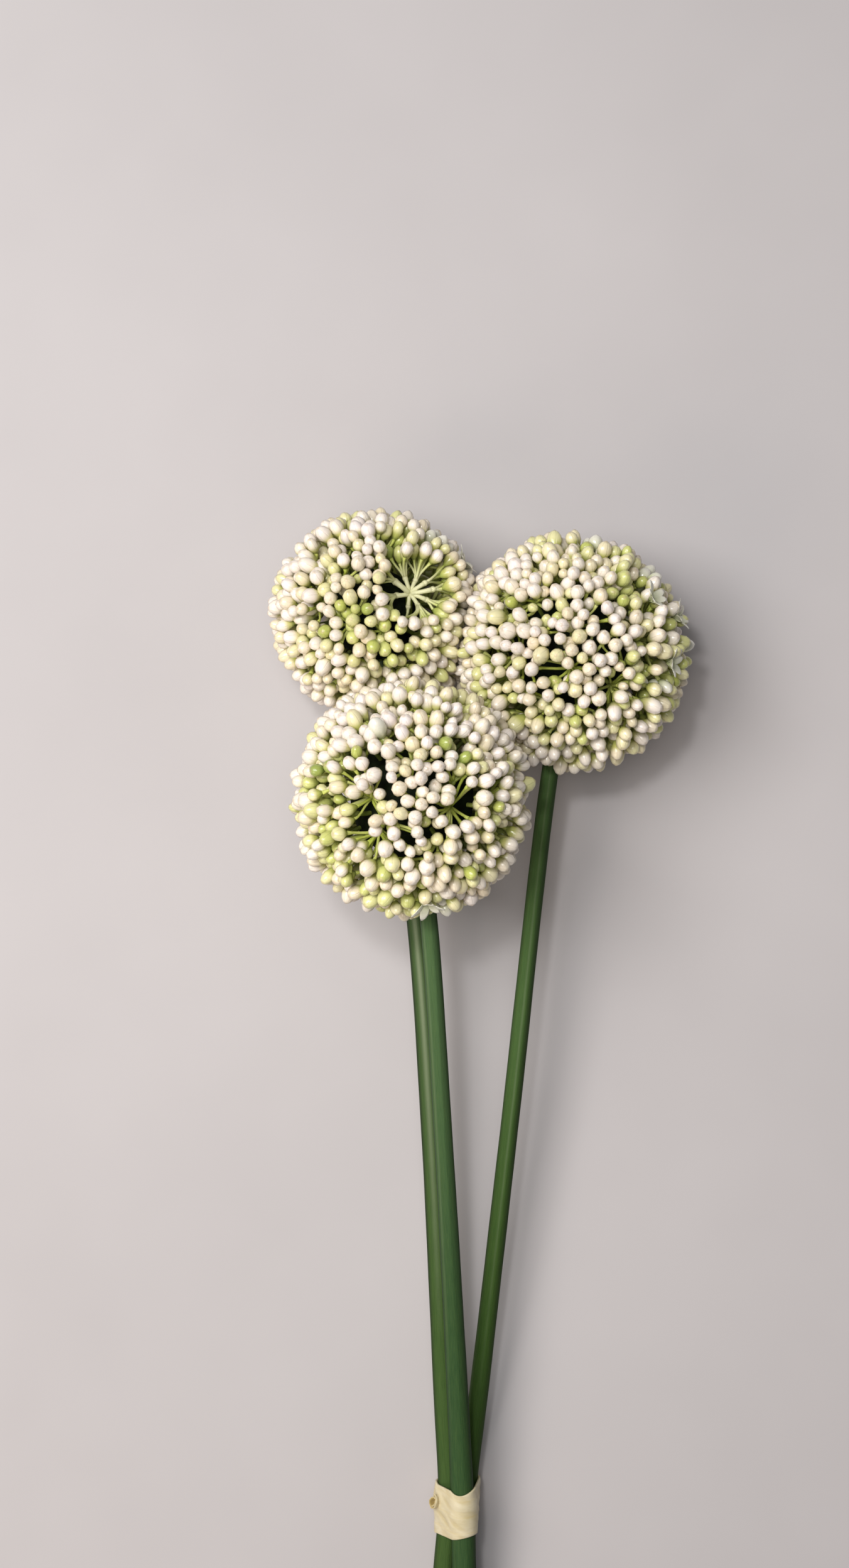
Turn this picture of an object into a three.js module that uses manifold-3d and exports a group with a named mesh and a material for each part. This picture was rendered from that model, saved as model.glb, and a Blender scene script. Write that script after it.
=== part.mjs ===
// A cut bunch of three giant allium flower heads, laid down on a flat surface.
// Two heads lie side by side on the surface, the third rests on them and on the left head's stem,
// and a wound tape with a twisted end holds the three stems together near their cut ends.
// Millimetres, +Z up. The stems run towards -Y, and the surface is the plane z = 0.
import * as THREE from "three";
import { ConvexGeometry } from "three/addons/geometries/ConvexGeometry.js";
import { LoftGeometry } from "three/addons/geometries/LoftGeometry.js";
import { mergeVertices } from "three/addons/utils/BufferGeometryUtils.js";
import Module from "manifold-3d";

// The middle of the bunch's outline seen from above, which becomes the origin.
const OUTLINE_MIDDLE = new THREE.Vector2(27.36, -182.64);

// Each head is a ball of florets that stand on a small core. corePoints sets how many florets it has.
const HEADS = {
  left: { centre: [-25, 86, 51.5], radius: 54, corePoints: 96, seed: 11, parting: [0.3, 0.25, 0.92] },
  right: { centre: [73.5, 66, 58.5], radius: 61, corePoints: 128, seed: 23, parting: null },
  front: { centre: [-6, -7, 106], radius: 59, corePoints: 118, seed: 37, parting: null },
};
const CORE_RADIUS = 18;
const BUD_RADIUS = 6.1;
const NECK_RADIUS = 1.1; // where a pedicel meets its bud
const DEEPEST_BUD = 3.5; // how far a bud may sit below the head's outline
const PARTING_ANGLE = 15; // degrees, half the width of the left head's open place
const GAP = 0.35; // left between pieces that touch

// The rings of points round a bud from its neck to its crown, as shares of the bud's radius.
const BUD_RINGS = {
  neck: { height: -0.92, corners: 3, turn: 0 },
  girdle: { height: -0.08, radius: 0.98, corners: 6, turn: 0 },
  crown: { height: 0.8, radius: 0.58, corners: 3, turn: Math.PI / 3 },
};

// How the buds of a head share out its surface: each round they push apart up to a spacing, given
// as a share of that of an even packing, and are drawn back a little over their own roots.
const SPREADING = { rounds: 60, spacing: 1.02, push: 0.25, partingPush: 0.5, homing: 0.06 };

// Each stem leads from its head's centre through the places below to its cut end, and thickens from
// its neck, slowly at first: neck + (cut - neck) * share of its length ** STEM_SWELL.
const STEMS = {
  left: {
    neck: 4.4,
    cut: 6.2,
    path: [
      [-4.2, -65, 40.2],
      [3.7, -179, 31.6],
      [9.8, -311, 23],
      [12.7, -374, 19.6],
      [10.4, -410, 15.6],
      [4.2, -503, 6.25],
    ],
  },
  right: {
    neck: 4.3,
    cut: 5.6,
    path: [
      [63, 2, 52.2],
      [43.4, -178, 36],
      [29, -310, 21],
      [21.9, -374, 12.9],
      [21.6, -410, 10.9],
      [18.4, -497, 5.65],
    ],
  },
  front: {
    neck: 4.3,
    cut: 7,
    path: [
      [1.6, -62, 96],
      [8.8, -173, 70],
      [16.3, -306, 41],
      [19.7, -374, 29.8],
      [20.7, -410, 27],
      [24.5, -490, 19.5],
    ],
  },
};
const STEM_SWELL = 1.6;
const STEM_RIDGES = 6;
const STEM_GROOVE = 0.93; // a groove's radius as a share of a ridge's
const STEM_SAMPLES = 300;
const STEM_STATIONS = [0, 0.14, 0.28, 0.42, 0.56, 0.66, 0.72, 0.76, 0.8, 0.84, 0.91, 1]; // closest at the tie

// The tape is a wall wound round the stems. Its upper edge dips towards the cut ends on top, most
// on its right.
const TAPE_TOP = -362;
const TAPE_BOTTOM = -388;
const TAPE_DIP = 6;
const TAPE_DIP_TO_RIGHT = 0.3;
const TAPE_THICKNESS = 1.1;
const TAPE_BULGE = 0.5;
const TAPE_SIDES = 36;
const TAPE_OUTSIDE_ROWS = [0, 0.2, 0.5, 0.8, 1];
const TAPE_INSIDE_ROWS = [1, 0.5, 0];

// The tape's loose end, twisted into a short stub. Its ring radii are shares of its own radius.
const TWIST_ROOT = [7.6, -374, 23.9];
const TWIST_DIRECTION = [-0.78, 0.1, 0.62];
const TWIST_LENGTH = 6.4;
const TWIST_RADIUS = 2.3;
const TWIST_FLARE = [1, 0.85, 1.15, 1.3, 0.7];
const TWIST_TURN = 0.45; // radians from one ring to the next
const TWIST_SIDES = 8;
const TWIST_FOLDS = [1.1, 0.8]; // its creases are every other side
const TWIST_STRETCH = [1.25, 0.75]; // along the stems and across them

const wasm = await Module();
wasm.setup();

// A repeatable draw between 0 and 1.
function seededDraw(seed) {
  let state = seed >>> 0;
  return () => {
    state = (state + 0x6d2b79f5) >>> 0;
    let t = Math.imul(state ^ (state >>> 15), 1 | state);
    t = (t + Math.imul(t ^ (t >>> 7), 61 | t)) ^ t;
    return ((t ^ (t >>> 14)) >>> 0) / 4294967296;
  };
}

function vector(list) {
  return new THREE.Vector3(...list);
}

// Two directions square to a third, the first as near as it can be to the hint.
function crossAxes(direction, hint) {
  const first = hint.clone().addScaledVector(direction, -hint.dot(direction)).normalize();
  return [first, new THREE.Vector3().crossVectors(direction, first)];
}

// Stems

function stemPath(name) {
  const points = [HEADS[name].centre, ...STEMS[name].path].map(vector);
  return new THREE.CatmullRomCurve3(points, false, "centripetal");
}

function stemRadius(name, share) {
  return THREE.MathUtils.lerp(STEMS[name].neck, STEMS[name].cut, share ** STEM_SWELL);
}

// A stem's centre line as close samples, each with its radius.
function stemSamples(name) {
  const points = stemPath(name).getSpacedPoints(STEM_SAMPLES);
  return points.map((point, i) => ({ point, radius: stemRadius(name, i / STEM_SAMPLES) }));
}

// A ridged section is carried along the path, with one ridge always underneath.
function stemGeometry(name) {
  const path = stemPath(name);
  const neck = (CORE_RADIUS + GAP) / path.getLength();
  const down = new THREE.Vector3(0, 0, -1);
  const sections = [];
  for (const station of STEM_STATIONS) {
    const share = THREE.MathUtils.lerp(neck, 1, station);
    const middle = path.getPointAt(share);
    const [below, side] = crossAxes(path.getTangentAt(share), down);
    const section = [];
    for (let k = 0; k < 2 * STEM_RIDGES; k++) {
      const angle = (k / STEM_RIDGES) * Math.PI;
      const reach = stemRadius(name, share) * (k % 2 ? STEM_GROOVE : 1);
      section.push(
        middle.clone()
          .addScaledVector(below, reach * Math.cos(angle))
          .addScaledVector(side, reach * Math.sin(angle)),
      );
    }
    sections.push(section);
  }
  return new LoftGeometry(sections, { capStart: true, capEnd: true });
}

// Flower heads

// Points spread evenly over a ball by the golden angle, from underneath to the top.
function goldenPoints(count, radius) {
  const turn = Math.PI * (3 - Math.sqrt(5));
  return Array.from({ length: count }, (_, i) => {
    const z = -1 + (2 * i + 1) / count;
    const ring = Math.sqrt(1 - z * z);
    return new THREE.Vector3(ring * Math.cos(i * turn), ring * Math.sin(i * turn), z).multiplyScalar(radius);
  });
}

// The flat places of a head, as outward directions and distances from its centre: the surface it
// lies on, and the planes where two heads press against each other.
function pressedPlanes(name) {
  const own = HEADS[name];
  const centre = vector(own.centre);
  const planes = [{ normal: new THREE.Vector3(0, 0, -1), distance: centre.z, floor: true }];
  for (const [otherName, other] of Object.entries(HEADS)) {
    if (otherName === name) continue;
    const normal = vector(other.centre).sub(centre);
    const apart = normal.length();
    if (apart > own.radius + other.radius) continue;
    const distance = (apart ** 2 + own.radius ** 2 - other.radius ** 2) / (2 * apart) - GAP / 2;
    planes.push({ normal: normal.divideScalar(apart), distance, floor: false });
  }
  return planes;
}

function nearestSample(samples, place) {
  return samples.reduce((best, sample) =>
    sample.point.distanceToSquared(place) < best.point.distanceToSquared(place) ? sample : best,
  );
}

// Puts a bud on its head's outline, inside the pressed planes and clear of the stems.
function settleBud(bud, head) {
  const out = bud.place.clone().sub(head.centre).normalize();
  let reach = head.radius - BUD_RADIUS - bud.depth;
  bud.onFloor = false;
  for (const plane of head.planes) {
    const facing = out.dot(plane.normal);
    const limit = facing > 0 ? (plane.distance - BUD_RADIUS) / facing : Infinity;
    if (plane.floor && limit < reach + bud.depth) bud.onFloor = true;
    reach = Math.min(reach, limit);
  }
  bud.place.copy(head.centre).addScaledVector(out, reach);
  for (const samples of head.stems) {
    const nearest = nearestSample(samples, bud.place);
    const away = bud.place.clone().sub(nearest.point);
    const needed = nearest.radius + BUD_RADIUS + GAP;
    if (away.length() < needed) bud.place.copy(nearest.point).addScaledVector(away.normalize(), needed);
  }
}

// How far each bud is pushed in one round, by its neighbours and by the head's open place.
function pushesOn(buds, head, spacing) {
  const pushes = buds.map(() => new THREE.Vector3());
  buds.forEach((bud, i) => {
    for (let j = i + 1; j < buds.length; j++) {
      const between = bud.place.clone().sub(buds[j].place);
      const lacking = spacing - between.length();
      if (lacking <= 0) continue;
      between.setLength(SPREADING.push * lacking);
      pushes[i].add(between);
      pushes[j].sub(between);
    }
    if (!head.parting) return;
    const away = bud.place.clone().sub(head.parting);
    const lacking = head.partingWidth - away.length();
    if (lacking > 0) pushes[i].add(away.setLength(SPREADING.partingPush * lacking));
  });
  return pushes;
}

// Neighbouring buds push each other apart until they cover the head evenly.
function spreadBuds(buds, head) {
  const area = 4 * Math.PI * (head.radius - BUD_RADIUS) ** 2;
  const spacing = SPREADING.spacing * Math.sqrt((2 * area) / (Math.sqrt(3) * buds.length));
  buds.forEach((bud) => settleBud(bud, head));
  for (let round = 0; round < SPREADING.rounds; round++) {
    const pushes = pushesOn(buds, head, spacing);
    buds.forEach((bud, i) => {
      const reach = bud.place.distanceTo(head.centre);
      const home = bud.root.clone().sub(head.centre).setLength(reach).add(head.centre);
      bud.place.add(pushes[i]).lerp(home, SPREADING.homing);
      settleBud(bud, head);
    });
  }
}

// A head's place and what its buds keep clear of.
function headSettings(name, stemNames) {
  const { centre, radius, corePoints, seed, parting } = HEADS[name];
  const path = stemPath(name);
  const head = {
    centre: vector(centre),
    radius,
    corePoints,
    draw: seededDraw(seed),
    planes: pressedPlanes(name),
    stems: stemNames.map(stemSamples),
    neck: STEMS[name].neck,
    stemAxis: path.getPointAt(CORE_RADIUS / path.getLength()).sub(vector(centre)).normalize(),
  };
  if (parting) {
    head.parting = vector(parting).setLength(radius - BUD_RADIUS).add(head.centre);
    head.partingWidth = 2 * radius * Math.sin(THREE.MathUtils.degToRad(PARTING_ANGLE) / 2);
  }
  return head;
}

// The core's corners and three-cornered faces.
function headCore(head) {
  const hull = new ConvexGeometry(goldenPoints(head.corePoints, CORE_RADIUS));
  hull.deleteAttribute("normal");
  const core = mergeVertices(hull, 1e-3);
  const positions = core.getAttribute("position");
  const points = [];
  for (let i = 0; i < positions.count; i++) {
    points.push(new THREE.Vector3().fromBufferAttribute(positions, i).add(head.centre));
  }
  const faces = [];
  for (let i = 0; i < core.index.count; i += 3) faces.push([0, 1, 2].map((k) => core.index.getX(i + k)));
  return { points, faces };
}

// A bud over each face of the core, except those close to the stem, which stay bare.
function budsOver(core, head) {
  const bareAngle = Math.asin((head.neck + 2 * GAP) / CORE_RADIUS);
  const bare = [];
  const buds = [];
  for (const corners of core.faces) {
    const fromStem = corners.map((c) => core.points[c].clone().sub(head.centre).angleTo(head.stemAxis));
    if (Math.min(...fromStem) < bareAngle) {
      bare.push(corners);
      continue;
    }
    const root = new THREE.Vector3();
    corners.forEach((c) => root.addScaledVector(core.points[c], 1 / 3));
    buds.push({ corners, root, place: root.clone(), depth: DEEPEST_BUD * head.draw() ** 2 });
  }
  spreadBuds(buds, head);
  return { bare, buds };
}

// A bud's rings of points, at its place and pointing away from its root.
function budRings(bud, size, firstCorner) {
  const axis = bud.place.clone().sub(bud.root).normalize();
  const [along, across] = crossAxes(axis, firstCorner.clone().sub(bud.root));
  return Object.values(BUD_RINGS).map((ring) => {
    const middle = bud.place.clone().addScaledVector(axis, ring.height * size);
    const radius = ring.radius ? ring.radius * size : NECK_RADIUS;
    return Array.from({ length: ring.corners }, (_, k) => {
      const angle = ring.turn + (2 * Math.PI * k) / ring.corners;
      return middle.clone()
        .addScaledVector(along, radius * Math.cos(angle))
        .addScaledVector(across, radius * Math.sin(angle));
    });
  });
}

// Lowers a bud until it touches the surface. A head's foot is the bud that points straightest down,
// and its crown is pressed flat.
function pressOnFloor(rings, isFoot) {
  const lowest = Math.min(...rings.flat().map((p) => p.z));
  rings.flat().forEach((p) => (p.z -= lowest));
  if (isFoot) rings.at(-1).forEach((p) => (p.z = 0));
}

// The faces of one floret: its pedicel rises from three corners of the core to the neck, and the
// bud widens from the neck to its girdle and closes at its crown.
function floretFaces(corners, neck) {
  const girdle = neck + BUD_RINGS.neck.corners;
  const crown = girdle + BUD_RINGS.girdle.corners;
  const faces = [[crown, crown + 1, crown + 2]];
  for (let k = 0; k < 3; k++) {
    const next = (k + 1) % 3;
    const [g0, g1, g2, g3] = [0, 1, 2, 3].map((step) => girdle + ((2 * k + step) % BUD_RINGS.girdle.corners));
    faces.push([corners[k], corners[next], neck + next], [corners[k], neck + next, neck + k]);
    faces.push([neck + k, neck + next, g1], [neck + k, g1, g0], [neck + next, g2, g1]);
    faces.push([g1, g2, crown + k], [g2, crown + next, crown + k], [g2, g3, crown + next]);
  }
  return faces;
}

// A ball of florets that grow out of the faces of a small core. A bud is smaller where its
// neighbours crowd it.
function headGeometry(name, stemNames) {
  const head = headSettings(name, stemNames);
  const core = headCore(head);
  const { bare, buds } = budsOver(core, head);
  const down = new THREE.Vector3(0, 0, -1);
  const slant = (bud) => bud.place.clone().sub(head.centre).angleTo(down);
  const foot = buds.reduce((steepest, bud) => (slant(bud) < slant(steepest) ? bud : steepest));
  const points = [...core.points];
  const faces = [...bare];
  for (const bud of buds) {
    const neighbours = buds.filter((other) => other !== bud);
    const nearest = Math.min(...neighbours.map((other) => other.place.distanceTo(bud.place)));
    const size = Math.min(BUD_RADIUS, (nearest - GAP) / 2);
    const rings = budRings(bud, size, core.points[bud.corners[0]]);
    if (bud.onFloor) pressOnFloor(rings, bud === foot);
    faces.push(...floretFaces(bud.corners, points.length));
    points.push(...rings.flat());
  }
  const geometry = new THREE.BufferGeometry().setFromPoints(points);
  geometry.setIndex(faces.flat());
  return geometry;
}

// The tape

const TIED_STEMS = Object.keys(STEMS).map(stemSamples);

// Where a line square to the outward angle first touches the three stems, moved out by a distance.
function roundStems(angle, y, standOff) {
  const outward = new THREE.Vector3(Math.cos(angle), 0, Math.sin(angle));
  const touches = TIED_STEMS.map((samples) => {
    const offset = (sample) => Math.abs(sample.point.y - y);
    const here = samples.reduce((best, sample) => (offset(sample) < offset(best) ? sample : best));
    return here.point.clone().setY(y).addScaledVector(outward, here.radius + standOff);
  });
  return touches.reduce((furthest, touch) => (touch.dot(outward) > furthest.dot(outward) ? touch : furthest));
}

// The tape's wall cut lengthwise at one angle: down its outside, then back up its inside.
function tapeSection(angle) {
  const onTop = Math.max(0, Math.sin(angle));
  const top = TAPE_TOP - TAPE_DIP * onTop ** 2 * (1 + TAPE_DIP_TO_RIGHT * Math.cos(angle));
  const outside = TAPE_OUTSIDE_ROWS.map((row) => {
    const bulge = TAPE_BULGE * Math.sin(Math.PI * row);
    return roundStems(angle, THREE.MathUtils.lerp(top, TAPE_BOTTOM, row), GAP + TAPE_THICKNESS + bulge);
  });
  const inside = TAPE_INSIDE_ROWS.map((row) =>
    roundStems(angle, THREE.MathUtils.lerp(top, TAPE_BOTTOM, row), GAP),
  );
  return [...outside, ...inside];
}

function tapeGeometry() {
  const sections = [];
  for (let i = 0; i <= TAPE_SIDES; i++) {
    sections.push(tapeSection((-2 * Math.PI * (i % TAPE_SIDES)) / TAPE_SIDES));
  }
  return new LoftGeometry(sections);
}

// A creased stub whose rings turn a little from one to the next.
function twistGeometry() {
  const axis = vector(TWIST_DIRECTION).normalize();
  const [along, across] = crossAxes(axis, new THREE.Vector3(0, 1, 0));
  const sections = TWIST_FLARE.map((width, i) => {
    const rise = (TWIST_LENGTH * i) / (TWIST_FLARE.length - 1);
    const middle = vector(TWIST_ROOT).addScaledVector(axis, rise);
    return Array.from({ length: TWIST_SIDES }, (_, k) => {
      const angle = (2 * Math.PI * k) / TWIST_SIDES + TWIST_TURN * i;
      const reach = TWIST_RADIUS * width * TWIST_FOLDS[k % 2];
      return middle.clone()
        .addScaledVector(along, TWIST_STRETCH[0] * reach * Math.cos(angle))
        .addScaledVector(across, TWIST_STRETCH[1] * reach * Math.sin(angle));
    });
  });
  return new LoftGeometry(sections, { capStart: true, capEnd: true });
}

// Joins two closed shapes that overlap into one.
function joined(first, second) {
  const [a, b] = [first, second].map((geometry) => {
    const bare = new THREE.BufferGeometry();
    bare.setAttribute("position", geometry.toNonIndexed().getAttribute("position"));
    const merged = mergeVertices(bare, 1e-3);
    const vertProperties = merged.getAttribute("position").array;
    return new wasm.Manifold(
      new wasm.Mesh({ numProp: 3, vertProperties, triVerts: new Uint32Array(merged.index.array) }),
    );
  });
  const mesh = a.add(b).getMesh();
  const geometry = new THREE.BufferGeometry();
  geometry.setAttribute("position", new THREE.BufferAttribute(mesh.vertProperties, 3));
  geometry.setIndex(new THREE.BufferAttribute(mesh.triVerts, 1));
  return geometry;
}

// The bunch

const materials = {
  florets: new THREE.MeshStandardMaterial({ color: 0xe3e0cc, roughness: 0.45, metalness: 0 }),
  stems: new THREE.MeshStandardMaterial({ color: 0x3f6b3a, roughness: 0.5, metalness: 0 }),
  tape: new THREE.MeshStandardMaterial({ color: 0xe2d5b0, roughness: 0.65, metalness: 0 }),
};

// The stems that each head's florets keep clear of. The left stem passes under the front head.
const STEMS_BY_HEAD = { left: ["left"], right: ["right"], front: ["front", "left"] };

const bunch = new THREE.Group();
bunch.position.set(-OUTLINE_MIDDLE.x, -OUTLINE_MIDDLE.y, 0);

function addPiece(name, geometry, material) {
  geometry.computeVertexNormals();
  const mesh = new THREE.Mesh(geometry, material);
  mesh.name = name;
  bunch.add(mesh);
}

for (const [name, stemNames] of Object.entries(STEMS_BY_HEAD)) {
  addPiece(`head_${name}`, headGeometry(name, stemNames), materials.florets);
  addPiece(`stem_${name}`, stemGeometry(name), materials.stems);
}
addPiece("tie", joined(tapeGeometry(), twistGeometry()), materials.tape);

export default bunch;
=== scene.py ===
"""A cut bunch of three giant allium flower heads in bud, laid on a pale surface and seen from above.

Metres, +Z up. Each head is a ball of closed buds on curved pedicels that fan out from small hubs, which
stand on stalks round a core. Two heads lie side by side on the surface and press flat against each
other, and the third rests on them. Their stems run towards -Y, through a wound tape with a twisted end.
"""

import bpy
import numpy as np
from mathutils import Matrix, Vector


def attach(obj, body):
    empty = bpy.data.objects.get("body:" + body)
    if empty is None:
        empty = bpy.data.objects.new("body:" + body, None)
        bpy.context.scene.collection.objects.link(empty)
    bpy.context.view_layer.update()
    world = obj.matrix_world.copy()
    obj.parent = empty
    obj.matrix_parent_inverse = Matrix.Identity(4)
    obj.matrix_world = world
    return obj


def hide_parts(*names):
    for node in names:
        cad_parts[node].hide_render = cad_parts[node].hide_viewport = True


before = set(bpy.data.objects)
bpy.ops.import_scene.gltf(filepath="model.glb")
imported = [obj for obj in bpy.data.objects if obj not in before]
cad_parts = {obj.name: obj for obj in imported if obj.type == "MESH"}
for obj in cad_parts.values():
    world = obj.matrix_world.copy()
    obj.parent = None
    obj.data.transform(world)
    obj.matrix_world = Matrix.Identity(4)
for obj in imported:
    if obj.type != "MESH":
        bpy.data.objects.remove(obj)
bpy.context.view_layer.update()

MM = 0.001
RIGHTWARDS = np.array([1.0, 0.0, 0.0])
DOWNWARDS = np.array([0.0, 0.0, -1.0])

# The camera looks straight down from here, and places given below are measured from its axis.
CAMERA_FOOT = np.array([-27.36, 182.64, 0.0]) * MM
CAMERA_HEIGHT = 1210 * MM
SEEN_HEIGHT = 788.7 * MM  # of the picture, at SEEN_DISTANCE
SEEN_DISTANCE = 1150 * MM
SENSOR = 36.0

# Each light's place, the place it is aimed at, its width, its power in watts and its tone.
LIGHTS = {
    "window": ((-0.75, 0.5, 1.4), (0, 0.1, 0.05), 0.8, 19.8, (1.0, 0.985, 0.97)),
    "overhead": ((-0.1, 0.25, 1.8), (0, 0.1, 0.05), 0.6, 6.0, (1.0, 0.99, 0.98)),
    "sparkle": ((-0.2, 0.45, 1.35), (0, 0.15, 0.08), 0.11, 4.0, (1.0, 1.0, 1.0)),
    "warm lamp": ((-0.85, -0.7, 1.0), (0, 0.0, 0.05), 0.7, 6.0, (1.0, 0.87, 0.76)),
}
STUDIO_TONE = (0.92, 0.94, 1.0, 1.0)
STUDIO_STRENGTH = 0.115
FLOOR_REACH = 3.0

# Each head is a ball of buds round a dark core.
HEADS = {
    "left": {"centre": (-25, 86, 51.5), "radius": 54, "core": 23, "buds": 800, "hubs": 50, "seed": 11},
    "right": {"centre": (73.5, 66, 58.5), "radius": 61, "core": 31, "buds": 1030, "hubs": 64, "seed": 23},
    "front": {"centre": (-6, -7, 106), "radius": 59, "core": 30, "buds": 985, "hubs": 60, "seed": 41},
}
STEMS_NEAR = {"left": ["left"], "right": ["right"], "front": ["front", "left"]}  # that buds keep clear of
STEM_NEARNESS = 20 * MM  # beyond a head's outline
GAP = 0.35 * MM  # left between pieces that touch

# How a head's buds are shared out. Depths and sizes are drawn, and then, round after round, the buds
# push each other apart and go part of the way back to their own depth.
BUD_RADIUS = 3.4 * MM
BUD_SPREAD = 0.11  # of their sizes
BUD_LIMITS = (0.78, 1.28)  # times BUD_RADIUS, at least and at most
DEEPEST_BUD = 12 * MM
DEPTH_POWER = 1.9  # the higher, the fewer sit deep
DEEP_SHRINKING = 0.14  # how much smaller the deepest are
BUD_JOSTLING = 0.04
GATHERING = 0.11  # how far buds draw together into sprays over their hubs
SETTLING_ROUNDS = 34
SETTLING_PUSH = 0.8
SETTLING_RETURN = 0.25

# A bud's outline from its neck to its tip, as shares of its radius.
BUD_HEIGHTS = np.array([-1.56, -0.94, -0.16, 0.54, 0.98, 1.2])
BUD_WIDTHS = np.array([0.26, 0.68, 1.0, 0.88, 0.54, 0.12])
BUD_FOLDS = np.array([0.0, 0.01, 0.015, 0.025, 0.04, 0.05])  # how deep its seams are at each height
BUD_FOLDING = (0.3, 1.3)  # times that depth, at least and at most
BUD_LENGTHS = (0.9, 1.22)  # times those heights
BUD_FLATTENING = 0.08
BUD_LUMPS = 0.035
BUD_CORNERS = 12

# A bud's tint adds up its own draw, its spray's draw, the green places round it, its depth and a
# least tint. A few buds are deep green instead: a share of the outermost, and more of the deepest.
TINT_OWN = 0.52
TINT_OWN_POWER = 1.15
TINT_SPRAY = 0.2
TINT_DEPTH = 0.3
TINT_LEAST = 0.04
TINT_MOST = 0.84
DEEP_GREEN_SHARE = 0.006
DEEP_GREEN_MORE = 0.05
DEEP_GREEN = (0.82, 1.0)

# A bud's axis leans outwards from its head's centre and away from its hub.
LEAN_OUTWARDS = 0.7
LEAN_FROM_HUB = 0.5
LEAN_FROM_FORK = 0.95
WAVERING = 0.14  # of the axes and of the ways in which pedicels leave

# Pedicels, the hubs they spring from and the stalks of those.
PEDICEL_RADIUS = 0.74 * MM
PEDICEL_SWELL = np.array([1.5, 1.1, 0.95, 0.92, 1.0, 1.5])
PEDICEL_SPREAD = (0.86, 1.16)
PEDICEL_NECK = 1.4  # times a bud's radius, from its middle down to its pedicel
PEDICEL_BENDS = (0.4, 0.36)  # how long they keep their first and last ways, as shares of their length
ONWARD_FROM_HUB = 0.3  # how much they leave in line with the stalk
ONWARD_FROM_FORK = 1.1
HUB_RADIUS = 1.6 * MM
HUB_CLEARANCE = 2.2 * MM
HUB_DEPTHS = (15, 23)  # millimetres below the head's outline
HUB_JOSTLING = 0.07
HUB_CHOICE = 0.03  # how loosely buds choose the nearest hub
STALK_RADIUS = 1.1 * MM
STALK_SPREAD = (0.85, 1.1)
STALK_STRAY = 1.2 * MM
STALK_ROOT = 0.85  # times the core's radius
KNOB_HEIGHTS = np.array([-0.95, -0.55, 0.0, 0.55, 0.95])
KNOB_STRETCH = 1.2
KNOB_STEPS = np.linspace(0, 1, len(KNOB_HEIGHTS))
STEPS = np.linspace(0, 1, len(PEDICEL_SWELL))  # shares along pedicels, stalks and the leaf
SHADE_POWER = 2.6  # how fast the dark at a hub fades along its pedicels

# Under a thin place pedicels fan out from a hub of its own to the buds round it.
FAN_DEPTH = 24 * MM
FAN_REACH = 1.55  # times a thin place's width, inside which the buds stand on that hub
FAN_SHADE = 0.45  # how dark those pedicels are at their hub
FAN_WIDEST = 20  # degrees, and a wider thin place has no hub of its own

# The left head's open place, an oval well that reaches down to a pale hub, from which branches lead to
# the buds round its rim: its axis, and half its width and height across that.
PARTING_AXIS = (0.06, -0.04, 0.99)
PARTING_OVAL = (18.5, 18.5)
PARTING_SHIFT = (3.0, 3.0)  # from the hub to the middle of the oval
PARTING_HUB = (17.4, 8.5, 25)
PARTING_HUB_RADIUS = 1.9 * MM
PARTING_STEM = ((17, -6, 2), (17.2, -2, 14))  # where the hub's own dark stalk starts and bends
PARTING_LEAF = (3.2, 3.0, 2.0)  # the tip of a small dark leaf, measured from the hub
PARTING_RIM = 1.3  # times the oval, inside which the buds stand on the branches
PARTING_CLEAR = 1.25  # times the oval, inside which no other hub stands
PARTING_FLOOR = -14 * MM  # from the hub, where the well ends
LEAF_WIDTH = 1.5 * MM  # half of it
LEAF_THICKNESS = 0.2 * MM
FORK_SWELL = [1.25, 1.0, 0.9, 0.9, 1.0, 1.2]
FORK_SHADE = 0.04
FORK_PALENESS = 0.95
BRANCH_LIFT = 0.45  # how far branches rise before they lean out, as a share of their length

# Each branch: degrees round the hub, how far it reaches sideways, how far it rises, and its radius,
# in millimetres.
PARTING_BRANCHES = np.array(
    [
        (142, 9.0, 4.0, 1.45),
        (106, 7.5, 2.5, 1.15),
        (64, 7.0, 0.5, 1.1),
        (33, 9.0, 2.5, 1.2),
        (9, 11.5, 4.5, 1.25),
        (-21, 9.0, 2.5, 1.2),
        (-54, 7.0, 2.0, 1.1),
        (-94, 6.5, 0.0, 1.1),
        (190, 6.5, 2.5, 1.3),
    ]
)

# Where a head's buds stand further apart: a direction, how many degrees wide, and the share missing.
THIN_PLACES = {
    "left": [((0.42, 0.35, 0.84), 26, 0.36), ((0.02, 0.76, 0.65), 15, 0.32)],
    "right": [
        ((-0.68, -0.05, 0.73), 9, 0.55),
        ((-0.04, 0.25, 0.97), 6, 0.15),
        ((-0.04, -0.23, 0.97), 6, 0.15),
        ((0.48, -0.46, 0.75), 12, 0.35),
        ((0.8, 0.15, 0.5), 18, 0.3),
    ],
    "front": [
        ((-0.52, 0.02, 0.85), 13, 0.55),
        ((0.5, -0.1, 0.86), 14, 0.4),
        ((-0.42, -0.42, 0.8), 9, 0.45),
        ((0.88, -0.1, 0.45), 17, 0.4),
    ],
}

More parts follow.
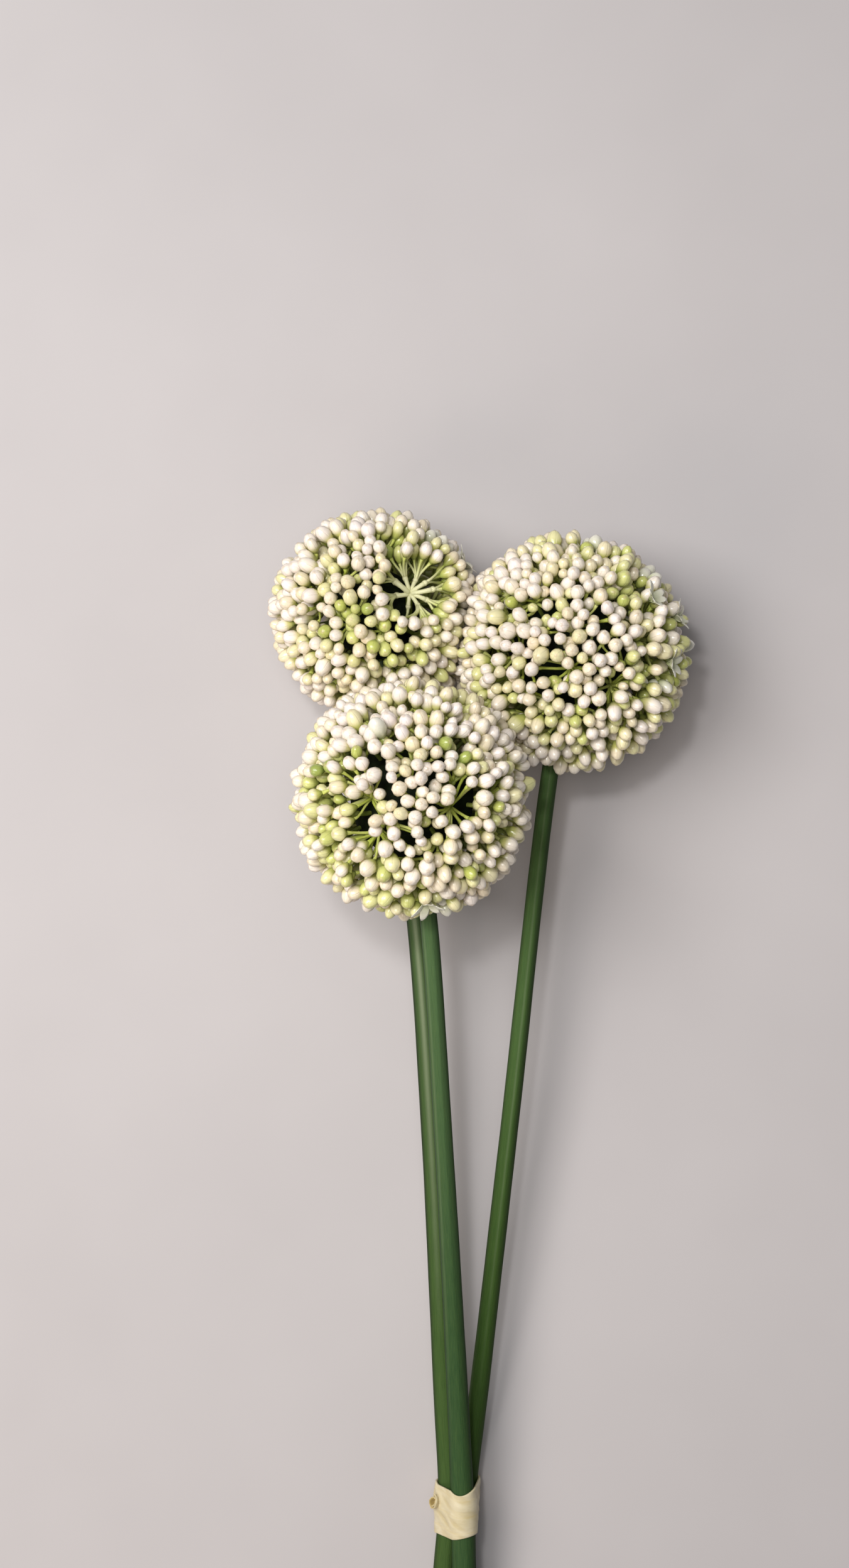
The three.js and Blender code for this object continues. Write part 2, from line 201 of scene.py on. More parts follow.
# Where a head's buds are greener or, below zero, whiter: a direction, how many degrees wide, how much.
GREEN_PLACES = {
    "left": [
        ((-0.35, 0.02, 0.93), 16, 0.22),
        ((0.45, 0.85, 0.25), 14, 0.3),
        ((0.2, -0.4, 0.9), 20, 0.12),
        ((-0.02, -0.29, 0.95), 12, 0.12),
        ((-0.85, -0.1, 0.5), 30, -0.16),
        ((-0.4, 0.75, 0.5), 26, -0.12),
    ],
    "right": [
        ((0.1, 0.92, 0.35), 18, 0.24),
        ((0.95, 0.0, 0.25), 30, 0.26),
        ((0.45, -0.1, 0.88), 14, 0.2),
        ((-0.5, 0.45, 0.7), 32, -0.14),
        ((0.2, 0.35, 0.9), 16, -0.1),
    ],
    "front": [
        ((-0.75, -0.3, 0.55), 20, 0.2),
        ((-0.3, -0.9, 0.3), 26, 0.2),
        ((-0.1, 0.6, 0.75), 30, -0.16),
        ((0.6, 0.1, 0.75), 26, -0.1),
        ((0.0, -0.3, 0.95), 14, -0.06),
    ],
}

# Opened, clear florets and clear closed buds, as directions from the middle of their head. The closed
# buds within CLEAR_SPREAD degrees of these directions are clear.
OPEN_SPOTS = {
    "left": [(0.86, 0.5, 0.1)],
    "right": [(0.67, 0.43, 0.61), (0.89, 0.29, 0.34), (0.83, -0.11, 0.55)],
    "front": [(0.13, -0.9, 0.42)],
}
CLEAR_SPOTS = {
    "left": [(0.76, 0.62, 0.19), (0.63, 0.74, 0.25), (0.88, 0.47, 0.05)],
    "right": [(0.7, 0.66, 0.26), (0.18, 0.98, 0.08), (0.75, -0.36, 0.55), (0.97, 0.1, 0.2)],
    "front": [(0.25, -0.95, 0.2)],
}
CLEAR_SPREAD = 6.5
OPEN_ROOM = 4.6 * MM  # round an opened floret, in which no bud stands
OPEN_ROOT = 6.5 * MM  # how deep its blades spring from
OPEN_PETALS = 6
PETAL_LENGTH = 9.5 * MM
PETAL_LENGTHS = (0.8, 1.15)  # times that
PETAL_WIDTH = 4.8 * MM
PETAL_THICKNESS = 0.16 * MM
DROP_DIRECTION = (-0.28, 0.59, 0.76)  # a large clear bud on the front head
DROP_RADIUS = 4.4 * MM
CORE_RINGS = 14
CORE_CORNERS = 24

# Each stem leads from its head's centre through the places below to its cut end, and thickens from
# its neck, slowly at first: neck + (cut - neck) x share of its length ** STEM_SWELL. Its tint is its
# place on the stems' greens.
STEMS = {
    "left": {
        "neck": 4.6,
        "cut": 6.2,
        "tint": 0.0,
        "path": (
            (-4.9, -65, 40.2),
            (3.3, -179, 31.6),
            (9.8, -311, 23),
            (12.7, -374, 19.6),
            (10.4, -410, 15.6),
            (4.2, -503, 6.25),
        ),
    },
    "right": {
        "neck": 4.3,
        "cut": 5.6,
        "tint": 0.5,
        "path": (
            (63, 2, 52.2),
            (43.4, -178, 36),
            (29, -310, 21),
            (21.9, -374, 12.9),
            (21.6, -410, 10.9),
            (18.4, -497, 5.65),
        ),
    },
    "front": {
        "neck": 4.3,
        "cut": 7,
        "tint": 1.0,
        "path": (
            (1.6, -62, 96),
            (9.2, -173, 70),
            (16.6, -306, 41),
            (19.7, -374, 29.8),
            (20.7, -410, 27),
            (24.5, -490, 19.5),
        ),
    },
}
STEM_SWELL = 1.6
STEM_LINE_STEPS = 600
STEM_SIDES = 6  # flat sides with soft ridges between them
STEM_RIDGE_TURN = 15  # degrees from the top of a stem to the ridge right of it
STEM_FLATNESS = 0.5  # near the head, and less lower down
STEM_STATIONS = 170
STEM_CORNERS = 60

# The rings of a cut end, from its edge to its middle: shares of the stem's radius, how far they stand
# out, and how far they are from rim to pith.
CUT_SHARES = np.array([0.985, 0.94, 0.7, 0.35, 0.08])
CUT_HEIGHTS = np.array([0.25, 0.35, 0.2, 0.0, -0.05]) * MM
CUT_PITH = np.array([0.05, 0.35, 0.6, 0.85, 1.0])

# Lengthwise bands on a stem: degrees to the right of its top, half width in degrees, how much paler or,
# below zero, darker, and the shares of the length between which it fades. The pale bands are painted
# highlights on flat sides that face the light, on the left stem also its pale wax; the dark ones are
# painted shade along the edges, on the sides turned from the light and between touching stems.
STEM_BANDS = {
    "left": [(-8, 15, 0.9, 0.3, 0.62), (-74, 24, -0.7, 0.5, 1.5), (62, 26, -0.8, 0.5, 1.5)],
    "right": [(0, 6, 0.25, 0.4, 0.7), (-80, 16, -0.4, 0.5, 1.5), (62, 34, -0.6, 0.4, 1.5)],
    "front": [(-44, 6, 0.25, 0.35, 0.7), (-84, 18, -0.55, 0.5, 1.5), (74, 26, -0.7, 0.5, 1.5)],
}

# The tape that holds the stems together. Its upper edge dips a little on top, most on its left, and
# its lower edge runs lower on its left.
TAPE_TOP = -362.4 * MM
TAPE_BOTTOM = -388.2 * MM
TAPE_DIP = 2.7 * MM
TAPE_DIP_TO_RIGHT = -0.5
TAPE_BOTTOM_TILT = 1.7 * MM
TAPE_BOTTOM_RISE = 0.6 * MM
TAPE_THICKNESS = 0.95 * MM
TAPE_GATHER = 1.3 * MM  # how far it swells under its twisted end
TAPE_GATHER_REACH = 6.5 * MM
TAPE_BULGE = 0.5 * MM
TAPE_TURNS = 2.7
TAPE_STEP = 0.22 * MM
TAPE_LAP = 0.1  # the share of a turn in which it steps down again
TAPE_CREASES = (1.0, 0.8, 0.7, 0.6, 0.6, 0.5, 0.5, 0.4, 0.4, 0.4)
TAPE_CREASE_DEPTH = 0.06 * MM
TAPE_SEED = 5
TAPE_AROUND = 220
TAPE_ROWS = 56
TAPE_INSIDE_ROWS = (1, 0.66, 0.33, 0)
OUTLINE_STEPS = 1440

# The tape's loose end, rolled up into a short open scroll that leans towards the camera.
TWIST_ROOT = (6.9, -372.6, 23.6)
TWIST_DIRECTION = (-0.55, 0.22, 0.8)
TWIST_HEIGHTS = np.array([-4.2, -1.5, 0.6, 2.4, 3.8, 4.7, 5.1]) * MM
TWIST_FLARE = np.array([0.72, 0.74, 0.8, 0.92, 1.04, 1.1, 1.1])
TWIST_RADIUS = 2.3 * MM
TWIST_GROWTH = (0.42, 0.58)  # the innermost share of that radius, and what the roll adds to it
TWIST_STRETCH = (1.5, 1.0)
TWIST_TURNS = 1.6
TWIST_START = 2.6  # radians
TWIST_SHEET = 0.4 * MM
TWIST_STEPS = 64

# Colour ramps: each stop's place on the ramp, and its red, green and blue as they look on a screen.
BUD_CROWN = [
    (0.0, 240, 228, 220),
    (0.3, 240, 229, 212),
    (0.44, 235, 220, 190),
    (0.55, 230, 223, 172),
    (0.7, 208, 209, 134),
    (0.86, 184, 191, 98),
    (1.0, 138, 154, 80),
]
# The buds' sides: partly their own green base, partly painted shade round their rims.
BUD_SIDE_AND_SHADE = [(0.0, 208, 200, 142), (0.5, 188, 188, 104), (0.8, 158, 168, 84), (1.0, 108, 124, 58)]
PEDICEL_GREEN = [(0.0, 168, 178, 76), (0.5, 190, 196, 100), (1.0, 206, 208, 128)]
# The core's own dark green, made nearly black as painted shade in the deep gaps between buds.
CORE_GREEN_AND_SHADE = [(0.3, 8, 12, 5), (0.7, 26, 36, 13)]
CLEAR_GREY = [(0.0, 150, 160, 92), (0.35, 206, 208, 172), (1.0, 242, 237, 224)]
STEM_UPPER = [(0.0, 68, 88, 56), (0.5, 73, 98, 57), (1.0, 74, 98, 64)]
STEM_LOWER = [(0.0, 64, 86, 46), (0.5, 62, 86, 42), (1.0, 54, 78, 48)]
STEM_PITH = [(0.35, 112, 136, 70), (0.6, 176, 190, 130), (1.0, 206, 212, 172)]
TAPE_CREAM = [(0.3, 200, 187, 150), (0.7, 214, 203, 172)]
FLOOR_GREY = [(0.3, 184, 179, 179), (0.7, 189, 184, 184)]
SKIN_SETTINGS = ("Patch scale", "Speck scale", "Drift", "Grain")


# Shapes


def unit(vectors):
    """Each vector divided by its own length."""
    return vectors / np.maximum(np.linalg.norm(vectors, axis=-1, keepdims=True), 1e-12)


def placed(point):
    """A place in millimetres from the camera's axis, in metres from the middle of the bunch."""
    return np.array(point, float) * MM + CAMERA_FOOT


def golden_points(count):
    """Directions spread evenly over a ball: places along Y in equal steps, each a golden angle further
    round."""
    step = np.arange(count)
    height = 1 - 2 * (step + 0.5) / count
    turn = step * np.pi * (3 - np.sqrt(5))
    flat = np.sqrt(1 - height**2)
    return np.stack([flat * np.cos(turn), height, flat * np.sin(turn)], axis=-1)


def across(axes, hints):
    """Two directions square to each axis. The first is the hint without its part along the axis."""
    side = unit(hints - (hints * axes).sum(-1, keepdims=True) * axes)
    return side, np.cross(axes, side)


def rings_round(middles, axes, hints, radii):
    """Rings of corners: middle + radius x (cos x side + sin x other), with the two directions square
    to the axis. middles has the axes stack, ring, xyz, which axes and hints fit, and radii has stack,
    ring, corner."""
    side, other = across(axes, hints)
    angle = 2 * np.pi * np.arange(radii.shape[-1]) / radii.shape[-1]
    out = np.cos(angle)[:, None] * side[..., None, :] + np.sin(angle)[:, None] * other[..., None, :]
    return middles[..., None, :] + radii[..., None] * out


def tubes(paths, hints, radii, corners):
    """Round tubes whose rings lie square to their paths. radii has the axes stack, ring."""
    along = unit(np.gradient(paths, axis=1))
    return rings_round(paths, along, hints[:, None], np.repeat(radii[..., None], corners, axis=-1))


def blades(middles, facing, widths, thickness):
    """Thin blades: each ring is an ellipse, width x cos along the blade's side and thickness x sin
    across it, where the side is square to the blade's run and to the way it faces."""
    along = unit(np.gradient(middles, axis=1))
    side = unit(np.cross(facing, along))
    up = np.cross(along, side)
    angle = 2 * np.pi * np.arange(8) / 8
    flat = widths[..., None, None] * np.cos(angle)[:, None] * side[..., None, :]
    return middles[..., None, :] + flat + thickness * np.sin(angle)[:, None] * up[..., None, :]


def bent(start, first, second, end):
    """Cubic Bezier curves, one for each row of the four arrays of places, at evenly spaced shares t:
    (1-t)^3 start + 3 (1-t)^2 t first + 3 (1-t) t^2 second + t^3 end."""
    t = STEPS[:, None]
    weights = ((1 - t) ** 3, 3 * (1 - t) ** 2 * t, 3 * (1 - t) * t**2, t**3)
    return sum(w * p[:, None] for w, p in zip(weights, (start, first, second, end)))


def evenly_along(line, measured, count, closed=False):
    """Places spaced evenly along a line, by the length of the measured line that goes with it. Round a
    closed line the first place isn't repeated at the end."""
    walked = np.concatenate([[0], np.cumsum(np.linalg.norm(np.diff(measured, axis=0), axis=1))])
    share = np.linspace(0, walked[-1], count, endpoint=not closed)
    return np.stack([np.interp(share, walked, line[:, k]) for k in range(3)], axis=-1)


def smooth_path(points, count):
    """Evenly spaced places on a centripetal Catmull-Rom curve: each stretch is the cubic between two
    points whose slopes come from the points on both sides, weighed by the square root of the distances."""
    before_first, after_last = 2 * points[0] - points[1], 2 * points[-1] - points[-2]
    p = np.concatenate([[before_first], points, [after_last]])
    gap = np.sqrt(np.linalg.norm(np.diff(p, axis=0), axis=1))[:, None]
    before, here, after = gap[:-2], gap[1:-1], gap[2:]
    a, b, c, d = p[:-3], p[1:-2], p[2:-1], p[3:]
    leave = here * ((b - a) / before - (c - a) / (before + here) + (c - b) / here)
    arrive = here * ((c - b) / here - (d - b) / (here + after) + (d - c) / after)
    t = np.linspace(0, 1, 60)[:, None, None]
    curve = b + leave * t + (3 * (c - b) - 2 * leave - arrive) * t**2 + (2 * (b - c) + leave + arrive) * t**3
    curve = curve.transpose(1, 0, 2).reshape(-1, 3)
    return evenly_along(curve, curve, count)


def in_scene(name, data):
    """A new object in the scene that shows a mesh, a light or a camera."""
    thing = bpy.data.objects.new(name, data)
    bpy.context.scene.collection.objects.link(thing)
    return thing


def add_piece(name, stacks, material, slot, *nodes, closed=False):
    """One mesh of stacks of rings, each given as (rings, shares along, values). Neighbouring rings are
    joined by four-cornered faces, and the end rings are closed by flat ones, or where closed is set the
    last ring is joined to the first. The mesh's own map runs once round a ring and by the shares along
    the stack, and values are numbers kept at the corners, such as each bud's tint."""
    points, corners, sizes, maps, values = [], [], [], [], {}
    first = 0
    for rings, along, extra in stacks:
        count, rows, sides = rings.shape[:3]
        index = first + np.arange(count * rows * sides).reshape(count, rows, sides)
        u = np.arange(sides + 1) / sides
        nearer = np.concatenate([index, index[:, :1]], axis=1) if closed else index
        shares = np.append(along, along[-1]) if closed else np.asarray(along)
        beside = np.roll(nearer, -1, axis=2)
        quads = np.stack([nearer[:, :-1], beside[:, :-1], beside[:, 1:], nearer[:, 1:]], axis=-1)
        quad_u = np.stack([u[:-1], u[1:], u[1:], u[:-1]], axis=-1)
        quad_v = np.stack([shares[:-1], shares[:-1], shares[1:], shares[1:]], axis=-1)
        quad_map = np.stack(np.broadcast_arrays(quad_u[None, None], quad_v[None, :, None]), axis=-1)
        corners.append(quads.ravel())
        maps.append(np.broadcast_to(quad_map, quads.shape + (2,)).reshape(-1, 2))
        sizes.append(np.full(quads[..., 0].size, 4))
        if not closed:
            for ring, share, turn in ((index[:, 0], along[0], -1), (index[:, -1], along[-1], 1)):
                corners.append(ring[:, ::turn].ravel())
                cap = np.stack(np.broadcast_arrays(u[:-1][::turn], share), axis=-1)
                maps.append(np.tile(cap, (count, 1)))
                sizes.append(np.full(count, sides))
        points.append(rings.reshape(-1, 3))
        for key, value in extra.items():
            values.setdefault(key, []).append(np.broadcast_to(value, rings.shape[:3]).ravel())
        first += index.size
    mesh = bpy.data.meshes.new(name)
    corners, sizes = np.concatenate(corners), np.concatenate(sizes)
    mesh.vertices.add(first)
    mesh.vertices.foreach_set("co", np.concatenate(points).astype(np.float32).ravel())
    mesh.loops.add(len(corners))
    mesh.loops.foreach_set("vertex_index", corners.astype(np.int32))
    mesh.polygons.add(len(sizes))
    mesh.polygons.foreach_set("loop_start", np.concatenate([[0], np.cumsum(sizes)[:-1]]).astype(np.int32))
    mesh.update(calc_edges=True)
    mesh.polygons.foreach_set("use_smooth", np.ones(len(sizes), bool))
    own_map = mesh.uv_layers.new(name="round_and_along")
    own_map.data.foreach_set("uv", np.concatenate(maps).astype(np.float32).ravel())
    for key, parts in values.items():
        numbers = mesh.attributes.new(key, "FLOAT", "POINT")
        numbers.data.foreach_set("value", np.concatenate(parts).astype(np.float32))
    mesh.materials.append(material)
    piece = in_scene(name, mesh)
    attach(piece, "root")
    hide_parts(*nodes)


# Materials


def colour(red, green, blue):
    """A colour as it looks on a screen, 0 to 255, made linear for the shader."""
    return tuple((value / 255) ** 2.2 for value in (red, green, blue)) + (1.0,)


def add_node(tree, kind, inputs=None, **settings):
    """A shader node with its settings, whose inputs are linked to a socket or set to a value."""
    node = tree.nodes.new(kind)
    for key, value in settings.items():
        setattr(node, key, value)
    for key, value in (inputs or {}).items():
        if isinstance(value, bpy.types.NodeSocket):
            tree.links.new(value, node.inputs[key])
        else:
            node.inputs[key].default_value = value
    return node


def reckon(tree, operation, *values, clamp=False):
    """The result of a Math node."""
    inputs = dict(enumerate(values))
    return add_node(tree, "ShaderNodeMath", inputs, operation=operation, use_clamp=clamp).outputs[0]


def times(tree, first, second, clamp=False):
    """One value multiplied by another."""
    return reckon(tree, "MULTIPLY", first, second, clamp=clamp)


def between(tree, value, low, high, to_low=0.0, to_high=1.0):
    """A smooth step from to_low to to_high as the value goes from low to high."""
    inputs = {"Value": value, "From Min": low, "From Max": high, "To Min": to_low, "To Max": to_high}
    return add_node(tree, "ShaderNodeMapRange", inputs, interpolation_type="SMOOTHSTEP").outputs["Result"]


def blend(tree, share, first, second):
    """Two colours mixed by a share."""
    return add_node(tree, "ShaderNodeMix", {0: share, 6: first, 7: second}, data_type="RGBA").outputs[2]


def graded(tree, share, stops):
    """A colour ramp through the given stops."""
    node = add_node(tree, "ShaderNodeValToRGB", {"Fac": share})
    band = node.color_ramp.elements
    for end, (position, *shade) in zip(band, (stops[0], stops[-1])):
        end.position, end.color = position, colour(*shade)
    for position, *shade in stops[1:-1]:
        band.new(position).color = colour(*shade)
    return node.outputs["Color"]


def cloudy(tree, place, scale, detail=3.0, roughness=0.55):
    """Noise between 0 and 1 at a place."""
    inputs = {"Vector": place, "Scale": scale, "Detail": detail, "Roughness": roughness}
    return add_node(tree, "ShaderNodeTexNoise", inputs).outputs["Fac"]


def kept(tree, name):
    """A number kept at the mesh's corners."""
    return add_node(tree, "ShaderNodeAttribute", attribute_name=name).outputs["Fac"]


def new_material(name, roughness, **sockets):
    """A material's tree, its shader and its place in Object coordinates."""
    material = bpy.data.materials.new(name)
    material.use_nodes = True
    tree = material.node_tree
    shader = tree.nodes["Principled BSDF"]
    shader.inputs["Roughness"].default_value = roughness
    for key, value in sockets.items():
        shader.inputs[key.replace("_", " ")].default_value = value
    place = add_node(tree, "ShaderNodeTexCoord").outputs["Object"]
    return material, tree, shader, place


def plant_skin_group():
    """Living skin: a colour that drifts lighter and darker in soft patches and fine specks, and a
    normal roughened by the same specks."""
    group = bpy.data.node_groups.new("plant skin", "ShaderNodeTree")
    for way, kind, names in (
        ("INPUT", "NodeSocketColor", ["Colour"]),
        ("INPUT", "NodeSocketVector", ["Place"]),
        ("INPUT", "NodeSocketFloat", ["Height", *SKIN_SETTINGS]),
        ("OUTPUT", "NodeSocketColor", ["Colour"]),
        ("OUTPUT", "NodeSocketVector", ["Normal"]),
    ):
        for name in names:
            group.interface.new_socket(name=name, in_out=way, socket_type=kind)
    given = group.nodes.new("NodeGroupInput").outputs
    patches = cloudy(group, given["Place"], given["Patch scale"])
    specks = cloudy(group, given["Place"], given["Speck scale"], 2.0)
    both = reckon(group, "MULTIPLY_ADD", patches, 0.65, times(group, specks, 0.35))
    swing = times(group, reckon(group, "SUBTRACT", both, 0.5), given["Drift"])
    brighter = reckon(group, "ADD", swing, 1.0)
    lit = add_node(group, "ShaderNodeHueSaturation", {"Color": given["Colour"], "Value": brighter})
    relief = reckon(group, "ADD", given["Height"], times(group, specks, given["Grain"]))
    bump = add_node(group, "ShaderNodeBump", {"Strength": 0.6, "Distance": 0.0004, "Height": relief})
    result = group.nodes.new("NodeGroupOutput")
    group.links.new(lit.outputs["Color"], result.inputs["Colour"])
    group.links.new(bump.outputs["Normal"], result.inputs["Normal"])
    return group


PLANT_SKIN = plant_skin_group()


def give_skin(tree, shader, place, shade, height, *settings):
    """Passes a colour and a height through the plant skin group to the shader. The settings are those
    listed in SKIN_SETTINGS."""
    inputs = {"Colour": shade, "Place": place, "Height": height}
    inputs.update(zip(SKIN_SETTINGS, settings, strict=True))
    skin = add_node(tree, "ShaderNodeGroup", inputs, node_tree=PLANT_SKIN)
    tree.links.new(skin.outputs["Colour"], shader.inputs["Base Color"])
    tree.links.new(skin.outputs["Normal"], shader.inputs["Normal"])


def round_and_along(tree):
    """The mesh's own map: the share round a ring and the share along the stack."""
    both = add_node(tree, "ShaderNodeUVMap", uv_map="round_and_along").outputs["UV"]
    split = add_node(tree, "ShaderNodeSeparateXYZ", {"Vector": both})
    return split.outputs["X"], split.outputs["Y"]


def bud_material():
    """Closed buds: pinkish white to cream and lime by each bud's tint, beige and then green down their
    sides, partly their own green base and partly painted shade round their rims, with six fine seams
    between the folded petals that meet at a small beige tip. On some buds the seams are darkened by
    painted shade in their creases."""
    material, tree, shader, place = new_material("bud skin", 0.3, Coat_Weight=0.5, Coat_Roughness=0.12)
    u, v = round_and_along(tree)
    tint = kept(tree, "tint")
    crown, side = graded(tree, tint, BUD_CROWN), graded(tree, tint, BUD_SIDE_AND_SHADE)
    # From crown to side: the side colour is partly the buds' own green and partly painted shade round their
    # rims.
    shade = blend(tree, between(tree, v, 0.66, 0.3), crown, side)
    shade = blend(tree, between(tree, v, 0.34, 0.04, 0.0, 0.85), shade, colour(156, 168, 86))
    sweep = reckon(tree, "FRACT", times(tree, u, 6.0))
    sweep = reckon(tree, "ABSOLUTE", reckon(tree, "SUBTRACT", sweep, 0.5))
    seam = times(tree, between(tree, sweep, 0.43, 0.5), between(tree, v, 0.1, 0.5))
    # Painted shade in the creases along the seams, on some buds only.
    seam_shade = times(tree, seam, between(tree, cloudy(tree, place, 320.0), 0.42, 0.66, 0.0, 0.22))
    shade = blend(tree, seam_shade, shade, colour(166, 148, 100))
    tip = between(tree, v, 0.93, 1.0)
    shade = blend(tree, times(tree, tip, 0.45), shade, colour(196, 170, 136))
    furrows = reckon(tree, "ADD", times(tree, seam, 0.5), times(tree, tip, 0.6))
    height = reckon(tree, "SUBTRACT", 1.0, furrows)
    give_skin(tree, shader, place, shade, height, 160.0, 1500.0, 0.26, 0.35)
    return material


def pedicel_material():
    """Pedicels: yellow green, paler in the open place, and darker towards their hubs by painted shade, for
    the shade inside the head.
    """
    material, tree, shader, place = new_material("pedicel skin", 0.45, Specular_IOR_Level=0.4)
    shade = graded(tree, kept(tree, "tint"), PEDICEL_GREEN)
    shade = blend(tree, kept(tree, "pale"), shade, colour(224, 221, 178))
    # Painted shade: the depth value darkens the pedicels towards their hubs, inside the head.
    hub_shade = times(tree, kept(tree, "depth"), 0.84, clamp=True)
    shade = blend(tree, hub_shade, shade, colour(70, 86, 28))
    give_skin(tree, shader, place, shade, 0.0, 120.0, 1300.0, 0.3, 0.5)
    return material


def core_material():
    """The core under the pedicels: nearly black green, its own dark green darkened as painted shade for the
    deep gaps between the buds.
    """
    material, tree, shader, place = new_material("core skin", 0.8, Specular_IOR_Level=0.2)
    shade = graded(tree, cloudy(tree, place, 240.0), CORE_GREEN_AND_SHADE)
    give_skin(tree, shader, place, shade, 0.0, 200.0, 900.0, 0.5, 1.0)
    return material


def clear_material():
    """Clear florets: watery grey green that lets some light through, paler towards the tips."""
    material, tree, shader, place = new_material(
        "clear floret skin", 0.2, Coat_Weight=0.6, Coat_Roughness=0.1, Transmission_Weight=0.08
    )
    shade = graded(tree, round_and_along(tree)[1], CLEAR_GREY)
    give_skin(tree, shader, place, shade, 0.0, 260.0, 1400.0, 0.3, 0.5)
    return material


def stem_material():
    """Stems: fine lengthwise streaks over a green that turns yellower towards the cut end, with lengthwise
    bands of painted highlight, on the left stem also its pale wax, and of painted shade in dark green.
    The cut face is a pale pith in a green rim."""
    material, tree, shader, place = new_material("stem skin", 0.55, Specular_IOR_Level=0.07)
    u, v = round_and_along(tree)
    tint = kept(tree, "tint")
    upper, lower = graded(tree, tint, STEM_UPPER), graded(tree, tint, STEM_LOWER)
    shade = blend(tree, between(tree, v, 0.1, 0.62), upper, lower)
    turn = times(tree, u, 2 * np.pi)
    around = {"X": reckon(tree, "COSINE", turn), "Y": reckon(tree, "SINE", turn), "Z": times(tree, v, 3.0)}
    skin_place = add_node(tree, "ShaderNodeCombineXYZ", around).outputs["Vector"]
    streaks = cloudy(tree, skin_place, 16.0, 4.0, 0.6)
    clouds = cloudy(tree, skin_place, 2.4, 3.0)
    shade = blend(tree, between(tree, streaks, 0.4, 0.75, 0.0, 0.22), shade, colour(92, 114, 62))
    shade = blend(tree, between(tree, streaks, 0.5, 0.25, 0.0, 0.3), shade, colour(34, 54, 26))
    shade = blend(tree, between(tree, clouds, 0.5, 0.75, 0.0, 0.15), shade, colour(76, 84, 38))
    # Painted highlight in the pale bands, where a flat side faces the light; on the left stem it also stands
    # for pale wax.
    highlight_and_wax = times(tree, kept(tree, "pale"), 0.75, clamp=True)
    shade = blend(tree, highlight_and_wax, shade, colour(140, 150, 120))
    # Painted shade in the dark bands, along the edges, on the sides turned from the light and between
    # touching stems.
    shade = blend(tree, kept(tree, "dark"), shade, colour(22, 34, 16))
    cut = kept(tree, "cut")
    speckled = reckon(tree, "ADD", cut, times(tree, cloudy(tree, place, 1600.0), 0.12))
    shade = blend(tree, between(tree, cut, 0.08, 0.2), shade, graded(tree, speckled, STEM_PITH))
    give_skin(tree, shader, place, shade, times(tree, streaks, 0.9), 40.0, 1200.0, 0.16, 0.2)
    return material


def tape_material():
    """The tape: cream paper with soft creases along the way it is wound, and painted shade, darker and
    yellower, in its folds, in the low places of its creases and inside its rolled end.
    """
    material, tree, shader, place = new_material("paper tape", 0.5, Specular_IOR_Level=0.4, Sheen_Weight=0.1)
    shade = graded(tree, cloudy(tree, place, 110.0), TAPE_CREAM)
    # Painted shade where the fold value says: under the lapped edges, in the crease valleys, on the inside
    # rows and inside the rolled end.
    folded = times(tree, kept(tree, "fold"), 0.9, clamp=True)
    shade = blend(tree, folded, shade, colour(180, 158, 98))
    turned = {"Vector": place, "Rotation": (0.0, 0.0, 0.25), "Scale": (0.3, 2.0, 0.6)}
    wound = add_node(tree, "ShaderNodeMapping", turned).outputs["Vector"]
    creases = cloudy(tree, wound, 260.0)
    # Painted shade in the low places of the creases.
    shade = blend(tree, between(tree, creases, 0.5, 0.36, 0.0, 0.1), shade, colour(176, 158, 118))
    give_skin(tree, shader, place, shade, creases, 60.0, 1500.0, 0.1, 0.2)
    return material


def floor_material():
    """A plain pale surface with the faintest grain."""
    material, tree, shader, place = new_material("pale surface", 0.85)
    shade = graded(tree, cloudy(tree, place, 6.0), FLOOR_GREY)
    tree.links.new(shade, shader.inputs["Base Color"])
    return material


# Stems


def stem_line(name):
    """A stem's middle line as close places with their radii, from its head's centre to its cut end."""
    stem = STEMS[name]
    places = [placed(point) for point in (HEADS[name]["centre"], *stem["path"])]
    line = smooth_path(np.array(places), STEM_LINE_STEPS)
    share = np.linspace(0, 1, len(line))
    return line, (stem["neck"] + (stem["cut"] - stem["neck"]) * share**STEM_SWELL) * MM


STEM_LINES = {name: stem_line(name) for name in STEMS}


def stem_bands(name, share, angle):
    """How much painted highlight (pale) and painted shade (dark) a stem has at each share and angle to the
    right of its top: each band is a bell exp(-(distance / half width)^2) round the stem that fades out
    between its two shares."""
    pale = np.zeros((len(share), len(angle)))
    dark = np.zeros_like(pale)
    for middle, half_width, strength, full_until, gone_at in STEM_BANDS[name]:
        off = (np.degrees(angle) - middle - 3 * np.sin(7 * share + middle)[:, None] + 180) % 360 - 180
        fade = np.clip((gone_at - share) / (gone_at - full_until), 0, 1)[:, None]
        bell = abs(strength) * fade * np.exp(-((off / half_width) ** 2))
        if strength > 0:
            pale += bell
        else:
            dark += bell
    return pale, dark


